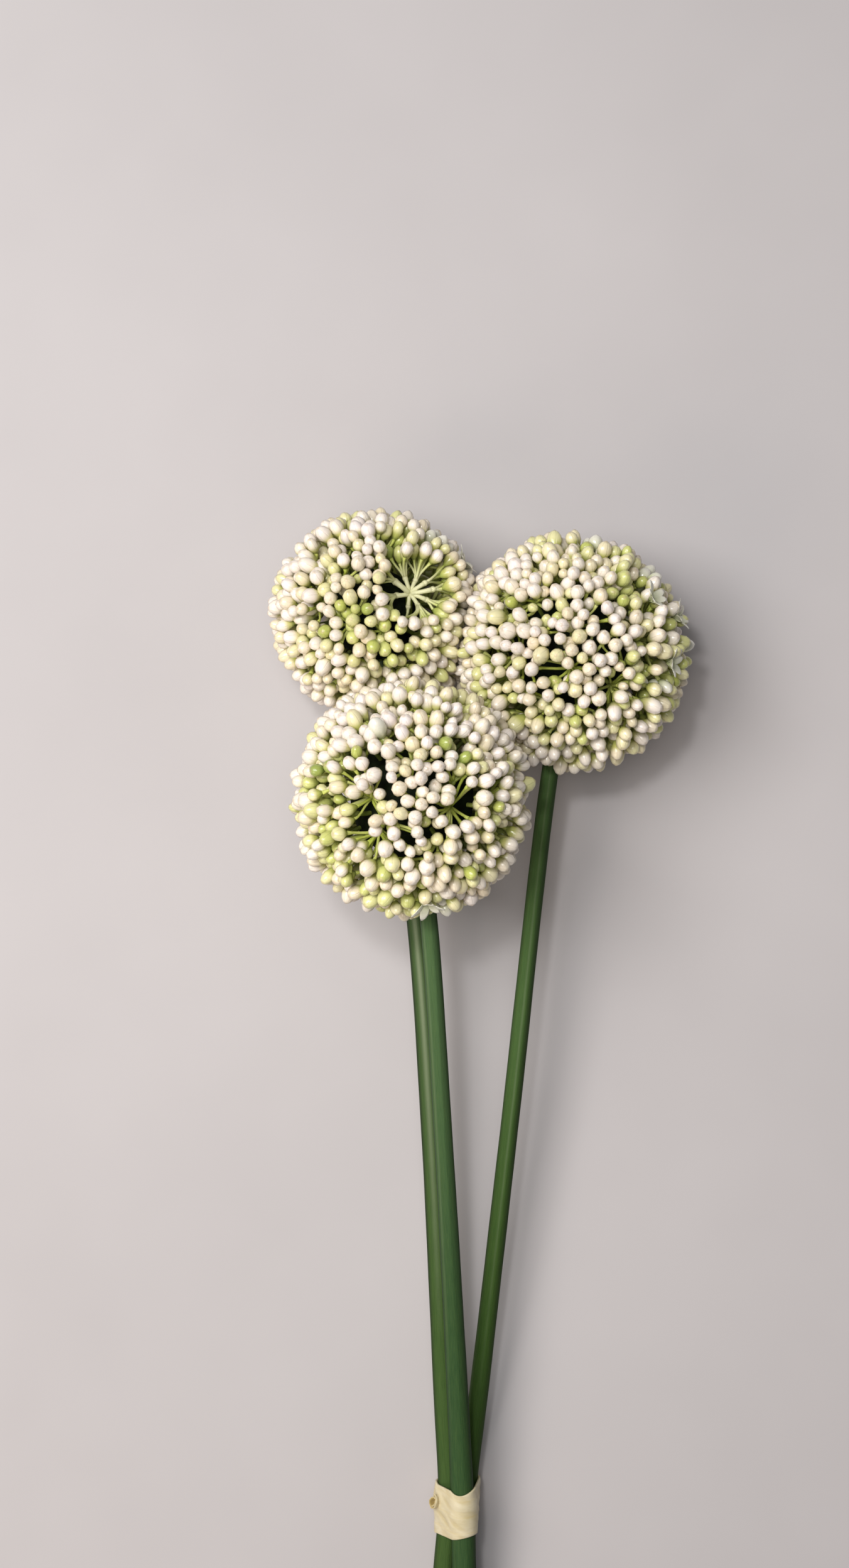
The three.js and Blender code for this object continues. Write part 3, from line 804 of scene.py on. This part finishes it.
def grow_stem(name, material):
    """A soft six-sided section carried along the stem's line: the radius times a blend of 1 and the
    polygon cos(half side) / cos(angle from the middle of a side), with slow swellings. The rings of
    the cut face close in on the pith."""
    (line, radii), tint = STEM_LINES[name], STEMS[name]["tint"]
    first = np.searchsorted(np.linalg.norm(line - line[0], axis=1), HEADS[name]["core"] * MM + GAP)
    share = np.linspace(0, 1, STEM_STATIONS)
    steps = first + (len(line) - 1 - first) * share
    path = np.stack([np.interp(steps, np.arange(len(line)), line[:, k]) for k in range(3)], axis=-1)
    radius = np.interp(steps, np.arange(len(line)), radii)
    angle = np.pi - 2 * np.pi * np.arange(STEM_CORNERS) / STEM_CORNERS  # to the right of the top
    half = np.pi / STEM_SIDES
    from_ridge = angle - np.radians(STEM_RIDGE_TURN) - 0.12 * np.sin(4 * share + 3 * tint)[:, None]
    polygon = np.cos(half) / np.cos(np.mod(from_ridge, 2 * half) - half)
    flatness = STEM_FLATNESS * (1 - 0.6 * np.clip((share - 0.25) / 0.5, 0, 1))[:, None]
    swell = 0.006 * np.sin(38 * share + 4 * tint) + 0.004 * np.sin(91 * share) + 0.015
    section = radius[:, None] * (1 - flatness * (1 - polygon) + swell[:, None])
    # pale is painted highlight and dark is painted shade, kept at the corners for the stem's material.
    pale, dark = stem_bands(name, share, angle)
    along = unit(np.gradient(path, axis=0))
    path = np.concatenate([path, path[-1] + along[-1] * CUT_HEIGHTS[:, None]])
    section = np.concatenate([section, section[-1] * CUT_SHARES[:, None]])
    along = np.concatenate([along, np.repeat(along[-1:], len(CUT_SHARES), axis=0)])
    no_bands = np.zeros((len(CUT_SHARES), STEM_CORNERS))
    rings = rings_round(path[None], along[None], DOWNWARDS, section[None])
    shares = np.concatenate([share, np.ones(len(CUT_SHARES))])
    values = {
        "tint": tint,
        "pale": np.concatenate([pale, no_bands]),
        "dark": np.concatenate([dark, no_bands]),
        "cut": np.concatenate([np.zeros(len(share)), CUT_PITH])[None, :, None],
    }
    add_piece(f"stem_{name}_skin", [(rings, shares, values)], material, "stems", f"stem_{name}")


# Flower heads


def pressed_planes(name):
    """A head's flat places as outward directions and distances from its centre: the surface it lies on,
    and the plane where two balls pressed together meet, at (apart^2 + radius^2 - other^2) / (2 x apart)."""
    centre, radius = placed(HEADS[name]["centre"]), HEADS[name]["radius"] * MM
    planes = [(DOWNWARDS, centre[2])]
    for other in HEADS.values():
        towards = placed(other["centre"]) - centre
        apart = np.linalg.norm(towards)
        if 0 < apart < radius + other["radius"] * MM:
            reach = (apart**2 + radius**2 - (other["radius"] * MM) ** 2) / (2 * apart)
            planes.append((towards / apart, reach - GAP / 2))
    return planes


def head_settings(name):
    """What the buds of a head need to know: its ball, its flat places and the stems close to it."""
    head = dict(HEADS[name])
    head.update(centre=placed(head["centre"]), radius=head["radius"] * MM, core=head["core"] * MM)
    head["planes"] = pressed_planes(name)
    head["stems"] = []
    for stem in STEMS_NEAR[name]:
        line, radii = STEM_LINES[stem]
        far = np.linalg.norm(line - head["centre"], axis=1)
        close = (far < head["radius"] + STEM_NEARNESS) & ((far > head["core"]) | (stem != name))
        head["stems"].append((line[close][::2], radii[close][::2]))
    head["thin"], head["green"] = THIN_PLACES[name], GREEN_PLACES[name]
    head["fans"] = [(unit(np.array(way)), width) for way, width, _ in head["thin"] if width <= FAN_WIDEST]
    head["parting"] = unit(np.array(PARTING_AXIS)) if name == "left" else None
    return head


def settled(places, sizes, head):
    """Places moved inside the head's outline and its pressed planes, and clear of the stems."""
    out = places - head["centre"]
    reach = np.linalg.norm(out, axis=1)
    places = head["centre"] + out * np.minimum(1, (head["radius"] - sizes) / reach)[:, None]
    for outward, distance in head["planes"]:
        over = (places - head["centre"]) @ outward - (distance - sizes)
        places = places - np.maximum(over, 0)[:, None] * outward
    for line, radii in head["stems"]:
        nearest = np.linalg.norm(places[:, None] - line[None], axis=2).argmin(axis=1)
        away = places - line[nearest]
        missing = radii[nearest] + sizes + GAP - np.linalg.norm(away, axis=1)
        places = places + unit(away) * np.maximum(missing, 0)[:, None]
    return places


def push_apart(places, sizes):
    """How far touching neighbours push each place: half of what is missing to the sum of their sizes."""
    gaps = places[:, None] - places[None]
    far = np.linalg.norm(gaps, axis=2) + np.eye(len(places))
    missing = np.clip(sizes[:, None] + sizes[None] - far, 0, None) * (1 - np.eye(len(places)))
    return (gaps * (missing / far / 2)[..., None]).sum(axis=1)


def in_parting(places, head):
    """Where places lie across the open place, in the two directions square to its axis from the middle of
    its oval, how far out that is as a share of the oval, and the two directions. Under the well's floor
    the share is 9, far outside."""
    side, other = across(head["parting"], RIGHTWARDS)
    off = places - head["centre"] - np.array(PARTING_HUB) * MM
    flat = np.stack([off @ side, off @ other], axis=-1) - np.array(PARTING_SHIFT) * MM
    share = np.linalg.norm(flat / (np.array(PARTING_OVAL) * MM), axis=-1)
    return flat, np.where(off @ head["parting"] > PARTING_FLOOR, share, 9.0), np.stack([side, other])


def outside_parting(places, head):
    """Places moved out of the open place: one inside its oval moves straight outwards to its rim."""
    if head["parting"] is None:
        return places
    flat, share, sides = in_parting(places, head)
    push = np.maximum(1 / np.maximum(share, 0.05) - 1, 0)
    return places + (push[:, None] * flat) @ sides


def near_places(outward, listed):
    """The sum over listed places of their strength x exp(-(angle / width)^2), for outward directions."""
    total = np.zeros(len(outward))
    for middle, width, strength in listed:
        angle = np.degrees(np.arccos(np.clip(outward @ unit(np.array(middle)), -1, 1)))
        total += strength * np.exp(-((angle / width) ** 2))
    return total


def share_out_buds(head, hubs, draw):
    """The buds' places, sizes and depths: golden spiral directions jostled at random and drawn together
    over their hubs, most near the outline and some deeper, then pushed apart until hardly any overlap.
    At the thin places some are left out."""
    count = head["buds"]
    depth = draw.random(count) ** DEPTH_POWER
    drawn = np.clip(draw.normal(1.0, BUD_SPREAD, count), *BUD_LIMITS)
    sizes = BUD_RADIUS * drawn * (1 - DEEP_SHRINKING * depth)
    directions = unit(golden_points(count) + draw.normal(0, BUD_JOSTLING, (count, 3)))
    over_hubs = unit(hubs - head["centre"])
    spray = over_hubs[(directions @ over_hubs.T).argmax(axis=1)]
    directions = unit(directions + GATHERING * (spray - directions))
    reach = head["radius"] - sizes - DEEPEST_BUD * depth
    places = head["centre"] + directions * reach[:, None]
    for _ in range(SETTLING_ROUNDS):
        places = places + SETTLING_PUSH * push_apart(places, sizes)
        out = places - head["centre"]
        length = np.linalg.norm(out, axis=1)
        back = ((1 - SETTLING_RETURN) * length + SETTLING_RETURN * reach) / length
        places = head["centre"] + out * back[:, None]
        places = settled(outside_parting(places, head), sizes, head)
    stays = draw.random(count) > near_places(unit(places - head["centre"]), head["thin"])
    return places[stays], sizes[stays], depth[stays]


def share_out_hubs(head, draw):
    """The hubs' places inside a head, the places that their stalks spring from, the stalks' radii, and
    which of them are branches of the hub seen in the open place, that take the others' stead there. The
    hub nearest to each thin place no wider than FAN_WIDEST is moved under its middle."""
    count = head["hubs"]
    directions = unit(golden_points(count) + draw.normal(0, HUB_JOSTLING, (count, 3)))
    reach = head["radius"] - draw.uniform(*HUB_DEPTHS, count) * MM
    hubs = settled(head["centre"] + directions * reach[:, None], np.full(count, HUB_CLEARANCE), head)
    if head["parting"] is not None:
        clear = in_parting(hubs, head)[1] > PARTING_CLEAR
        directions, hubs = directions[clear], hubs[clear]
    for way, _ in head["fans"]:
        nearest = (directions @ way).argmax()
        directions[nearest] = way
        hubs[nearest] = head["centre"] + way * (head["radius"] - FAN_DEPTH)
    roots = head["centre"] + directions * head["core"] * STALK_ROOT
    thick = STALK_RADIUS * draw.uniform(*STALK_SPREAD, len(hubs))
    forks = np.zeros(len(hubs), bool)
    if head["parting"] is not None:
        turn, spread, rise, radius = PARTING_BRANCHES.T * np.array([[np.pi / 180], [MM], [MM], [MM]])
        side, other = across(head["parting"], RIGHTWARDS)
        middle = head["centre"] + np.array(PARTING_HUB) * MM
        ring = spread[:, None] * (np.cos(turn)[:, None] * side + np.sin(turn)[:, None] * other)
        hubs = np.concatenate([hubs, middle + ring + rise[:, None] * head["parting"]])
        roots = np.concatenate([roots, np.repeat(middle[None], len(turn), axis=0)])
        thick = np.concatenate([thick, radius])
        forks = np.concatenate([forks, np.ones(len(turn), bool)])
    return hubs, roots, thick, forks


def hubs_under(ways, hubs, forks, head):
    """The hub nearest to each direction from the head's centre, leaving out the forks."""
    likeness = ways @ unit(hubs - head["centre"]).T
    return np.where(forks, -2, likeness).argmax(axis=1)


def choose_hubs(places, hubs, roots, forks, head, draw):
    """Which hub each bud's pedicel springs from: the one whose direction from the head's centre is
    nearest, or round a thin place the hub under it, or close round the open place the fork that points
    most nearly at the bud."""
    outward = unit(places - head["centre"])
    loosely = draw.normal(0, HUB_CHOICE, (len(places), len(hubs)))
    likeness = outward @ unit(hubs - head["centre"]).T + loosely
    likeness[:, forks] = -2
    chosen = likeness.argmax(axis=1)
    for way, width in head["fans"]:
        near = np.degrees(np.arccos(np.clip(outward @ way, -1, 1))) < FAN_REACH * width
        chosen = np.where(near, hubs_under(way[None], hubs, forks, head)[0], chosen)
    if head["parting"] is not None:
        rim = in_parting(places, head)[1] < PARTING_RIM
        pointing = unit(places - roots[forks][0]) @ unit(hubs[forks] - roots[forks][0]).T
        chosen = np.where(rim, np.flatnonzero(forks)[pointing.argmax(axis=1)], chosen)
    return chosen


def bud_tints(places, depth, family, head, draw):
    """Each bud's tint from 0, pinkish white, to 1, green: its own draw and its spray's, the green places,
    and greener the deeper it sits."""
    green = near_places(unit(places - head["centre"]), head["green"])
    own = TINT_OWN * draw.random(len(places)) ** TINT_OWN_POWER
    tint = own + TINT_SPRAY * family**2 + green + TINT_DEPTH * depth**1.5 + TINT_LEAST
    deep_green = draw.random(len(places)) < DEEP_GREEN_SHARE + DEEP_GREEN_MORE * depth
    return np.where(deep_green, draw.uniform(*DEEP_GREEN, len(places)), np.clip(tint, 0, TINT_MOST))


def bud_rings(places, axes, sizes, draw):
    """Closed buds: the outline's widths carried along each bud's axis, with six folds that deepen
    towards the tip, 1 + fold x cos(6 x angle), and pressed out of round by slower waves, cos(2 x angle
    + height) and cos(3 x angle + 2 x height)."""
    count = len(places)
    angle = 2 * np.pi * np.arange(BUD_CORNERS) / BUD_CORNERS
    longer = draw.uniform(*BUD_LENGTHS, count)[:, None]
    rows = places[:, None] + axes[:, None] * (BUD_HEIGHTS * sizes[:, None] * longer)[..., None]
    turn = draw.uniform(0, 6, (2, count, 1, 1))
    pressed = draw.uniform(0, BUD_FLATTENING, (count, 1, 1))
    flat = 1 + pressed * np.cos(2 * angle + turn[0] + BUD_HEIGHTS[:, None])
    lumps = BUD_LUMPS * np.cos(3 * angle + turn[1] + 2 * BUD_HEIGHTS[:, None])
    folded = draw.uniform(*BUD_FOLDING, (count, 1, 1))
    fold = 1 + folded * BUD_FOLDS[:, None] * np.cos(6 * angle) + lumps
    radii = sizes[:, None, None] * BUD_WIDTHS[None, :, None] * fold * flat
    return rings_round(rows, axes[:, None], draw.normal(0, 1, (count, 1, 3)), radii)


def knobs(middles, axes, draw, radius):
    """Small swollen hubs: balls a little longer than wide, radius x sqrt(1 - height^2) across."""
    radius = np.broadcast_to(radius, len(middles))[:, None]
    rows = middles[:, None] + axes[:, None] * (KNOB_HEIGHTS * radius * KNOB_STRETCH)[..., None]
    radii = np.repeat((np.sqrt(1 - KNOB_HEIGHTS**2) * radius)[..., None], 8, axis=-1)
    return rings_round(rows, axes[:, None], draw.normal(0, 1, (len(middles), 1, 3)), radii)


def open_florets(spots, head, draw):
    """Opened florets: blades that leave each spot and lean outwards as they rise, as wide as
    sin(pi x share)^0.7 makes them, so they end in soft points."""
    share = np.linspace(0, 1, 8)
    spots = np.repeat(unit(np.array(spots)), OPEN_PETALS, axis=0)
    turn = 2 * np.pi * np.arange(len(spots)) / OPEN_PETALS + draw.normal(0, 0.2, len(spots))
    side, other = across(spots, np.array([0.3, 0.5, 0.8]))
    lean = np.cos(turn)[:, None] * side + np.sin(turn)[:, None] * other
    length = PETAL_LENGTH * draw.uniform(*PETAL_LENGTHS, len(spots))[:, None, None]
    root = head["centre"] + spots * (head["radius"] - OPEN_ROOT)
    rise = np.sin(share * 1.35)[None, :, None] * spots[:, None] * 0.75
    spread = (share**1.3)[None, :, None] * lean[:, None] * 0.8
    middles = root[:, None] + length * (rise + spread)
    widths = PETAL_WIDTH / 2 * np.sin(np.pi * (0.06 + 0.9 * share)) ** 0.7
    return blades(middles, spots[:, None], widths, PETAL_THICKNESS), share


def grow_buds(name, head, places, axes, sizes, tint, materials, draw):
    """A head's closed buds, and as a piece of their own the clear ones with the opened florets. Returns
    which buds stand, since none does where a floret has opened."""
    shares = (BUD_HEIGHTS - BUD_HEIGHTS[0]) / np.ptp(BUD_HEIGHTS)
    outward = unit(places - head["centre"])
    opened = (outward @ unit(np.array(OPEN_SPOTS[name])).T).max(axis=1)
    standing = opened <= np.cos(OPEN_ROOM / head["radius"])
    nearness = (outward @ unit(np.array(CLEAR_SPOTS[name])).T).max(axis=1)
    clear = (nearness > np.cos(np.radians(CLEAR_SPREAD))) & standing
    rings = bud_rings(places, axes, sizes, draw)
    rings[..., 2] = np.maximum(rings[..., 2], 0)  # the lowest rest on the surface
    closed = [(rings[~clear & standing], shares, {"tint": tint[~clear & standing][:, None, None]})]
    add_piece(f"head_{name}_buds", closed, materials["bud"], "florets", f"head_{name}")
    petals, petal_shares = open_florets(OPEN_SPOTS[name], head, draw)
    glassy = [(rings[clear], shares, {}), (petals, petal_shares, {})]
    if name == "front":
        way = unit(np.array([DROP_DIRECTION]))
        drop = head["centre"] + way * (head["radius"] - DROP_RADIUS * 0.6)
        glassy.append((bud_rings(drop, way, np.array([DROP_RADIUS]), draw), shares, {}))
    add_piece(f"head_{name}_clear_florets", glassy, materials["clear"], "florets", f"head_{name}")
    return standing


def shades(tint, depth, pale):
    """What pedicels, stalks and hubs keep at their corners: tint, how dark they are, which is painted shade,
    and how pale.
    """
    return {"tint": tint, "depth": depth, "pale": pale}


def parting_stacks(head, middle, draw):
    """The open place's pale hub, its own dark stalk and a small dark leaf, as wide as sin(pi x share)."""
    axis = unit(middle - head["centre"])
    ball = knobs(middle, axis, draw, PARTING_HUB_RADIUS)
    root, bend = (head["centre"] + np.array([place]) * MM for place in PARTING_STEM)
    trunk_radii = np.full((1, len(STEPS)), PARTING_HUB_RADIUS * 0.9)
    trunk = tubes(bent(root, bend, bend, middle), np.cross(axis, RIGHTWARDS), trunk_radii, 10)
    tip = middle + np.array([PARTING_LEAF]) * MM
    leaf_path = bent(middle, middle + axis * 2 * MM, tip - axis * MM, tip)
    leaf_widths = LEAF_WIDTH * np.sin(np.pi * (0.1 + 0.86 * STEPS))
    leaf = blades(leaf_path, axis[:, None], leaf_widths, LEAF_THICKNESS)
    # The stalk and the leaf are darkened by the pedicels' painted shade.
    return [
        (ball, KNOB_STEPS, shades(0.6, 0.05, FORK_PALENESS)),
        (trunk, STEPS, shades(0.0, 0.85, 0.0)),
        (leaf, STEPS, shades(0.0, 0.7, 0.0)),
    ]


def grow_head(name, materials):
    """A head's buds, each on a pedicel that leaves its hub sideways and bends round to carry it."""
    head = head_settings(name)
    draw = np.random.default_rng(head["seed"])
    hubs, roots, thick_stalks, forks = share_out_hubs(head, draw)
    places, sizes, depth = share_out_buds(head, hubs, draw)
    chosen = choose_hubs(places, hubs, roots, forks, head, draw)
    lean = np.where(forks[chosen], LEAN_FROM_FORK, LEAN_FROM_HUB)[:, None]
    axes = LEAN_OUTWARDS * unit(places - head["centre"]) + lean * unit(places - hubs[chosen])
    axes = unit(axes + draw.normal(0, WAVERING, places.shape))
    tint = bud_tints(places, depth, draw.random(len(hubs))[chosen], head, draw)
    standing = grow_buds(name, head, places, axes, sizes, tint, materials, draw)

    places, axes, sizes, chosen = places[standing], axes[standing], sizes[standing], chosen[standing]
    start = hubs[chosen]
    base = places - axes * (PEDICEL_NECK * sizes)[:, None]
    length = np.linalg.norm(base - start, axis=1, keepdims=True)
    run = hubs - roots
    stalk_way = unit(run)
    onward = np.where(forks[chosen], ONWARD_FROM_FORK, ONWARD_FROM_HUB)[:, None] * stalk_way[chosen]
    leave = unit(onward + unit(base - start) + draw.normal(0, WAVERING, places.shape))
    first, last = PEDICEL_BENDS
    paths = bent(start, start + leave * length * first, base - axes * length * last, base)
    thick = PEDICEL_RADIUS * draw.uniform(*PEDICEL_SPREAD, len(places))[:, None] * PEDICEL_SWELL
    pedicels = tubes(paths, np.cross(unit(base - start), draw.normal(0, 1, places.shape)), thick, 6)
    stray = draw.normal(0, STALK_STRAY, hubs.shape)
    if head["parting"] is not None:
        lift = BRANCH_LIFT * np.linalg.norm(run, axis=1, keepdims=True) * head["parting"]
        stray = np.where(forks[:, None], lift + stray * 0.3, stray)
    paths = bent(roots, roots + run * 0.3 + stray, hubs - run * 0.3 + stray * 0.4, hubs)
    thick = thick_stalks[:, None] * np.where(forks[:, None], FORK_SWELL, 1.0)
    stalks = tubes(paths, np.cross(stalk_way, stray), thick, 8)

    # deep is how much painted shade a hub's pedicels, stalk and knob take: full inside the head, less under
    # the thin places, and hardly any on the pale forks.
    deep, pale = np.where(forks, FORK_SHADE, 1.0), np.where(forks, FORK_PALENESS, 0.0)
    deep[hubs_under(np.array([way for way, _ in head["fans"]]), hubs, forks, head)] = FAN_SHADE
    fading = (1 - STEPS)[:, None]
    own_tint = draw.random(len(places))[:, None, None]
    own_deep, own_pale = deep[chosen][:, None, None], pale[chosen][:, None, None]
    balls = knobs(hubs, stalk_way, draw, np.where(forks, thick_stalks * 1.3, HUB_RADIUS))
    borne = np.isin(np.arange(len(hubs)), chosen)  # hubs that carry a bud
    deep, pale = deep[borne, None, None], pale[borne, None, None]
    stacks = [
        (pedicels, STEPS, shades(own_tint, fading**SHADE_POWER * own_deep, fading * own_pale)),
        (stalks[borne], STEPS, shades(0.4, deep, pale)),
        (balls[borne], KNOB_STEPS, shades(0.6, deep * 0.8, pale)),
    ]
    if head["parting"] is not None:
        stacks += parting_stacks(head, roots[forks][:1], draw)
    add_piece(f"head_{name}_pedicels", stacks, materials["pedicel"], "florets", f"head_{name}")
    grow_core(name, head, materials["core"])


def grow_core(name, head, material):
    """The core that the stalks spring from: a ball whose rings are radius x sqrt(1 - height^2) across."""
    height = np.cos(np.linspace(np.pi * 0.98, np.pi * 0.02, CORE_RINGS))[:, None]
    up = np.array([0.0, 0.0, 1.0])
    rows = head["centre"] + up * (height * head["core"])
    radii = np.repeat(np.sqrt(1 - height**2) * head["core"], CORE_CORNERS, axis=1)
    ball = rings_round(rows[None], up, RIGHTWARDS, radii[None])
    stack = (ball, np.linspace(0, 1, CORE_RINGS), {})
    add_piece(f"head_{name}_core", [stack], material, "florets", f"head_{name}")


# The tape


def round_stems(angle, y, stand_off):
    """Where a line square to the outward angle first touches the three stems, moved out by a distance:
    of the three circles at y, the place middle + (radius + distance) x outward that lies furthest out."""
    touches = []
    for line, radii in STEM_LINES.values():
        order = line[:, 1].argsort()
        x, z, r = (np.interp(y, line[order, 1], values[order]) for values in (line[:, 0], line[:, 2], radii))
        reach = r + stand_off
        touches.append(np.stack([x + reach * np.cos(angle), y, z + reach * np.sin(angle)], axis=-1))
    touches = np.array(touches)
    outward = np.stack([np.cos(angle), np.zeros_like(angle), np.sin(angle)], axis=-1)
    furthest = (touches * outward).sum(-1).argmax(axis=0)
    return np.take_along_axis(touches, furthest[None, ..., None], axis=0)[0]


def tape_row(row, stand_off, relief):
    """One ring of the tape: the outline round the stems between the dipping upper edge and the lower one,
    with its corners spaced evenly along it and pushed outwards by the relief."""
    angle = np.linspace(0, -2 * np.pi, OUTLINE_STEPS, endpoint=False)
    on_top = np.maximum(0, np.sin(angle))
    top = TAPE_TOP - TAPE_DIP * on_top**2 * (1 + TAPE_DIP_TO_RIGHT * np.cos(angle)) + CAMERA_FOOT[1]
    bottom = TAPE_BOTTOM + TAPE_BOTTOM_TILT * np.cos(angle) + TAPE_BOTTOM_RISE * on_top + CAMERA_FOOT[1]
    outline = round_stems(angle, bottom + (top - bottom) * row, stand_off)
    outline = np.concatenate([outline, outline[:1]])
    ring = evenly_along(outline, outline[:, ::2], TAPE_AROUND, closed=True)
    run = unit((np.roll(ring, -2, axis=0) - np.roll(ring, 2, axis=0)) * np.array([1.0, 0.0, 1.0]))
    outward = np.stack([-run[:, 2], np.zeros(len(run)), run[:, 0]], axis=-1)
    far = np.linalg.norm(ring - placed(TWIST_ROOT), axis=1) / TAPE_GATHER_REACH
    gather = TAPE_GATHER * np.exp(-(far**2)) * (stand_off > GAP)
    return ring + outward * (relief + gather)[:, None]


def wind_tape(material):
    """The tape: its outside steps up and down at the edges of each turn, which climb round the stems, and
    is creased by slow waves that run nearly along them. Its wall closes over both edges to the inside."""
    around = np.arange(TAPE_AROUND) / TAPE_AROUND
    rows = np.linspace(0, 1, TAPE_ROWS)
    turn = np.mod(rows[:, None] * TAPE_TURNS + around + 0.06 * np.sin(9 * around), 1)
    step = TAPE_STEP * np.where(turn < 1 - TAPE_LAP, turn / (1 - TAPE_LAP), (1 - turn) / TAPE_LAP)
    draw = np.random.default_rng(TAPE_SEED)
    crease = np.zeros_like(step)
    for size in TAPE_CREASES:
        waves = draw.integers(2, 12)
        slope = draw.uniform(6, 26)
        wander = 1.4 * np.sin(2 * np.pi * draw.integers(1, 4) * around + 5 * rows[:, None])
        climb = slope * rows[:, None] + wander + draw.uniform(0, 6)
        crease += size * np.sin(2 * np.pi * waves * around + climb)
    crease *= TAPE_CREASE_DEPTH
    bulge = TAPE_BULGE * np.sin(np.pi * rows)[:, None]
    edge = np.minimum(1, np.minimum(rows, 1 - rows) / 0.04)[:, None]
    relief = (step + crease + bulge) * (0.4 + 0.6 * edge)
    outside = [tape_row(r, GAP + TAPE_THICKNESS - TAPE_STEP * 0.5, relief[i]) for i, r in enumerate(rows)]
    inside = [tape_row(r, GAP, 0.0) for r in TAPE_INSIDE_ROWS]
    # The fold value is painted shade: under the lapped edge of each turn, in the valleys of the creases, and
    # on the inside rows against the stems.
    lapped = np.exp(-(((turn - 0.95) / 0.05) ** 2)) * 0.3
    in_creases = np.clip(-crease / (0.3 * MM), 0, 0.3)
    fold = np.concatenate([lapped + in_creases, np.full((len(inside), TAPE_AROUND), 0.6)])
    stack = (np.array(outside + inside)[None], np.concatenate([rows, np.ones(len(inside))]), {"fold": fold})
    add_piece("tape_band", [stack], material, "tape", "tie", closed=True)


def twist_tape(material):
    """The rolled end: a sheet that turns inwards as a spiral, radius x (innermost + growth x share) x
    flare at each height, with a wavy rim. Each ring runs up the sheet's outer face and down its inner
    one."""
    share = np.linspace(0, 1, TWIST_STEPS)[:, None]
    angle = 2 * np.pi * TWIST_TURNS * share + TWIST_START
    wave = 1 + 0.07 * np.sin(2.3 * angle + 1) + 0.04 * np.sin(5.1 * angle)
    spiral = TWIST_RADIUS * (TWIST_GROWTH[0] + TWIST_GROWTH[1] * share) * TWIST_FLARE * wave
    crease = 0.03 * TWIST_RADIUS * np.sin(9 * angle + TWIST_HEIGHTS / (1.5 * MM))
    height = TWIST_HEIGHTS * (1 + np.where(TWIST_HEIGHTS > 0, 0.14 * np.sin(1.7 * angle + 2), 0))
    taper = TWIST_SHEET * np.sqrt(1.02 - np.linspace(0, 1, len(TWIST_HEIGHTS)) ** 6)
    out = np.concatenate([spiral + crease + taper, (spiral + crease - taper)[:, ::-1]], axis=1)
    up = np.concatenate([height, height[:, ::-1]], axis=1)
    axis = unit(np.array(TWIST_DIRECTION, float))
    side, other = across(axis[None], np.array([[0.0, 1.0, 0.0]]))
    wide, narrow = TWIST_STRETCH
    flat = wide * np.cos(angle)[..., None] * side + narrow * np.sin(angle)[..., None] * other
    rings = placed(TWIST_ROOT) + up[..., None] * axis + out[..., None] * flat
    # The fold value is painted shade inside the roll: on its inner face, and more on its inner turns.
    inner = np.repeat([0.0, 1.0], len(TWIST_HEIGHTS))
    fold = 0.15 + 0.75 * inner + 0.3 * (1 - share)
    add_piece("tape_twist", [(rings[None], share[:, 0], {"fold": fold})], material, "tape", "tie")


# The surface, the lights and the camera


def lay_floor():
    """A wide flat sheet under the bunch."""
    corners = [(FLOOR_REACH * x, FLOOR_REACH * y, 0) for x, y in ((-1, -1), (1, -1), (1, 1), (-1, 1))]
    mesh = bpy.data.meshes.new("surface")
    mesh.from_pydata(corners, [], [(0, 1, 2, 3)])
    mesh.materials.append(floor_material())
    floor = in_scene("surface", mesh)


def soft_light(name, place, aim, size, power, tone):
    """A square soft light aimed at a place."""
    lamp = bpy.data.lights.new(name, "AREA")
    lamp.shape = "SQUARE"
    lamp.size = size
    lamp.energy = power
    lamp.color = tone
    light = in_scene(name, lamp)
    light.location = place
    light.rotation_euler = (Vector(aim) - Vector(place)).to_track_quat("-Z", "Y").to_euler()


def set_camera():
    """The camera looks straight down with +Y up in the picture."""
    lens = bpy.data.cameras.new("camera")
    lens.sensor_fit = "VERTICAL"
    lens.sensor_height = SENSOR
    lens.lens = SENSOR * SEEN_DISTANCE / SEEN_HEIGHT
    lens.clip_start = 0.01
    camera = in_scene("camera", lens)
    camera.location = (CAMERA_FOOT[0], CAMERA_FOOT[1], CAMERA_HEIGHT)
    bpy.context.scene.camera = camera


def set_world():
    """A dim, even grey all round."""
    world = bpy.data.worlds.new("studio")
    world.use_nodes = True
    background = world.node_tree.nodes["Background"].inputs
    background["Color"].default_value = STUDIO_TONE
    background["Strength"].default_value = STUDIO_STRENGTH
    bpy.context.scene.world = world


set_camera()
set_world()
lay_floor()
for light_name, light_settings in LIGHTS.items():
    soft_light(light_name, *light_settings)

HEAD_MATERIALS = {
    "bud": bud_material(),
    "clear": clear_material(),
    "pedicel": pedicel_material(),
    "core": core_material(),
}
for head_name in HEADS:
    grow_head(head_name, HEAD_MATERIALS)

STEM_SKIN = stem_material()
for stem_name in STEMS:
    grow_stem(stem_name, STEM_SKIN)

TAPE_PAPER = tape_material()
wind_tape(TAPE_PAPER)
twist_tape(TAPE_PAPER)

bpy.context.scene.view_settings.view_transform = "Standard"
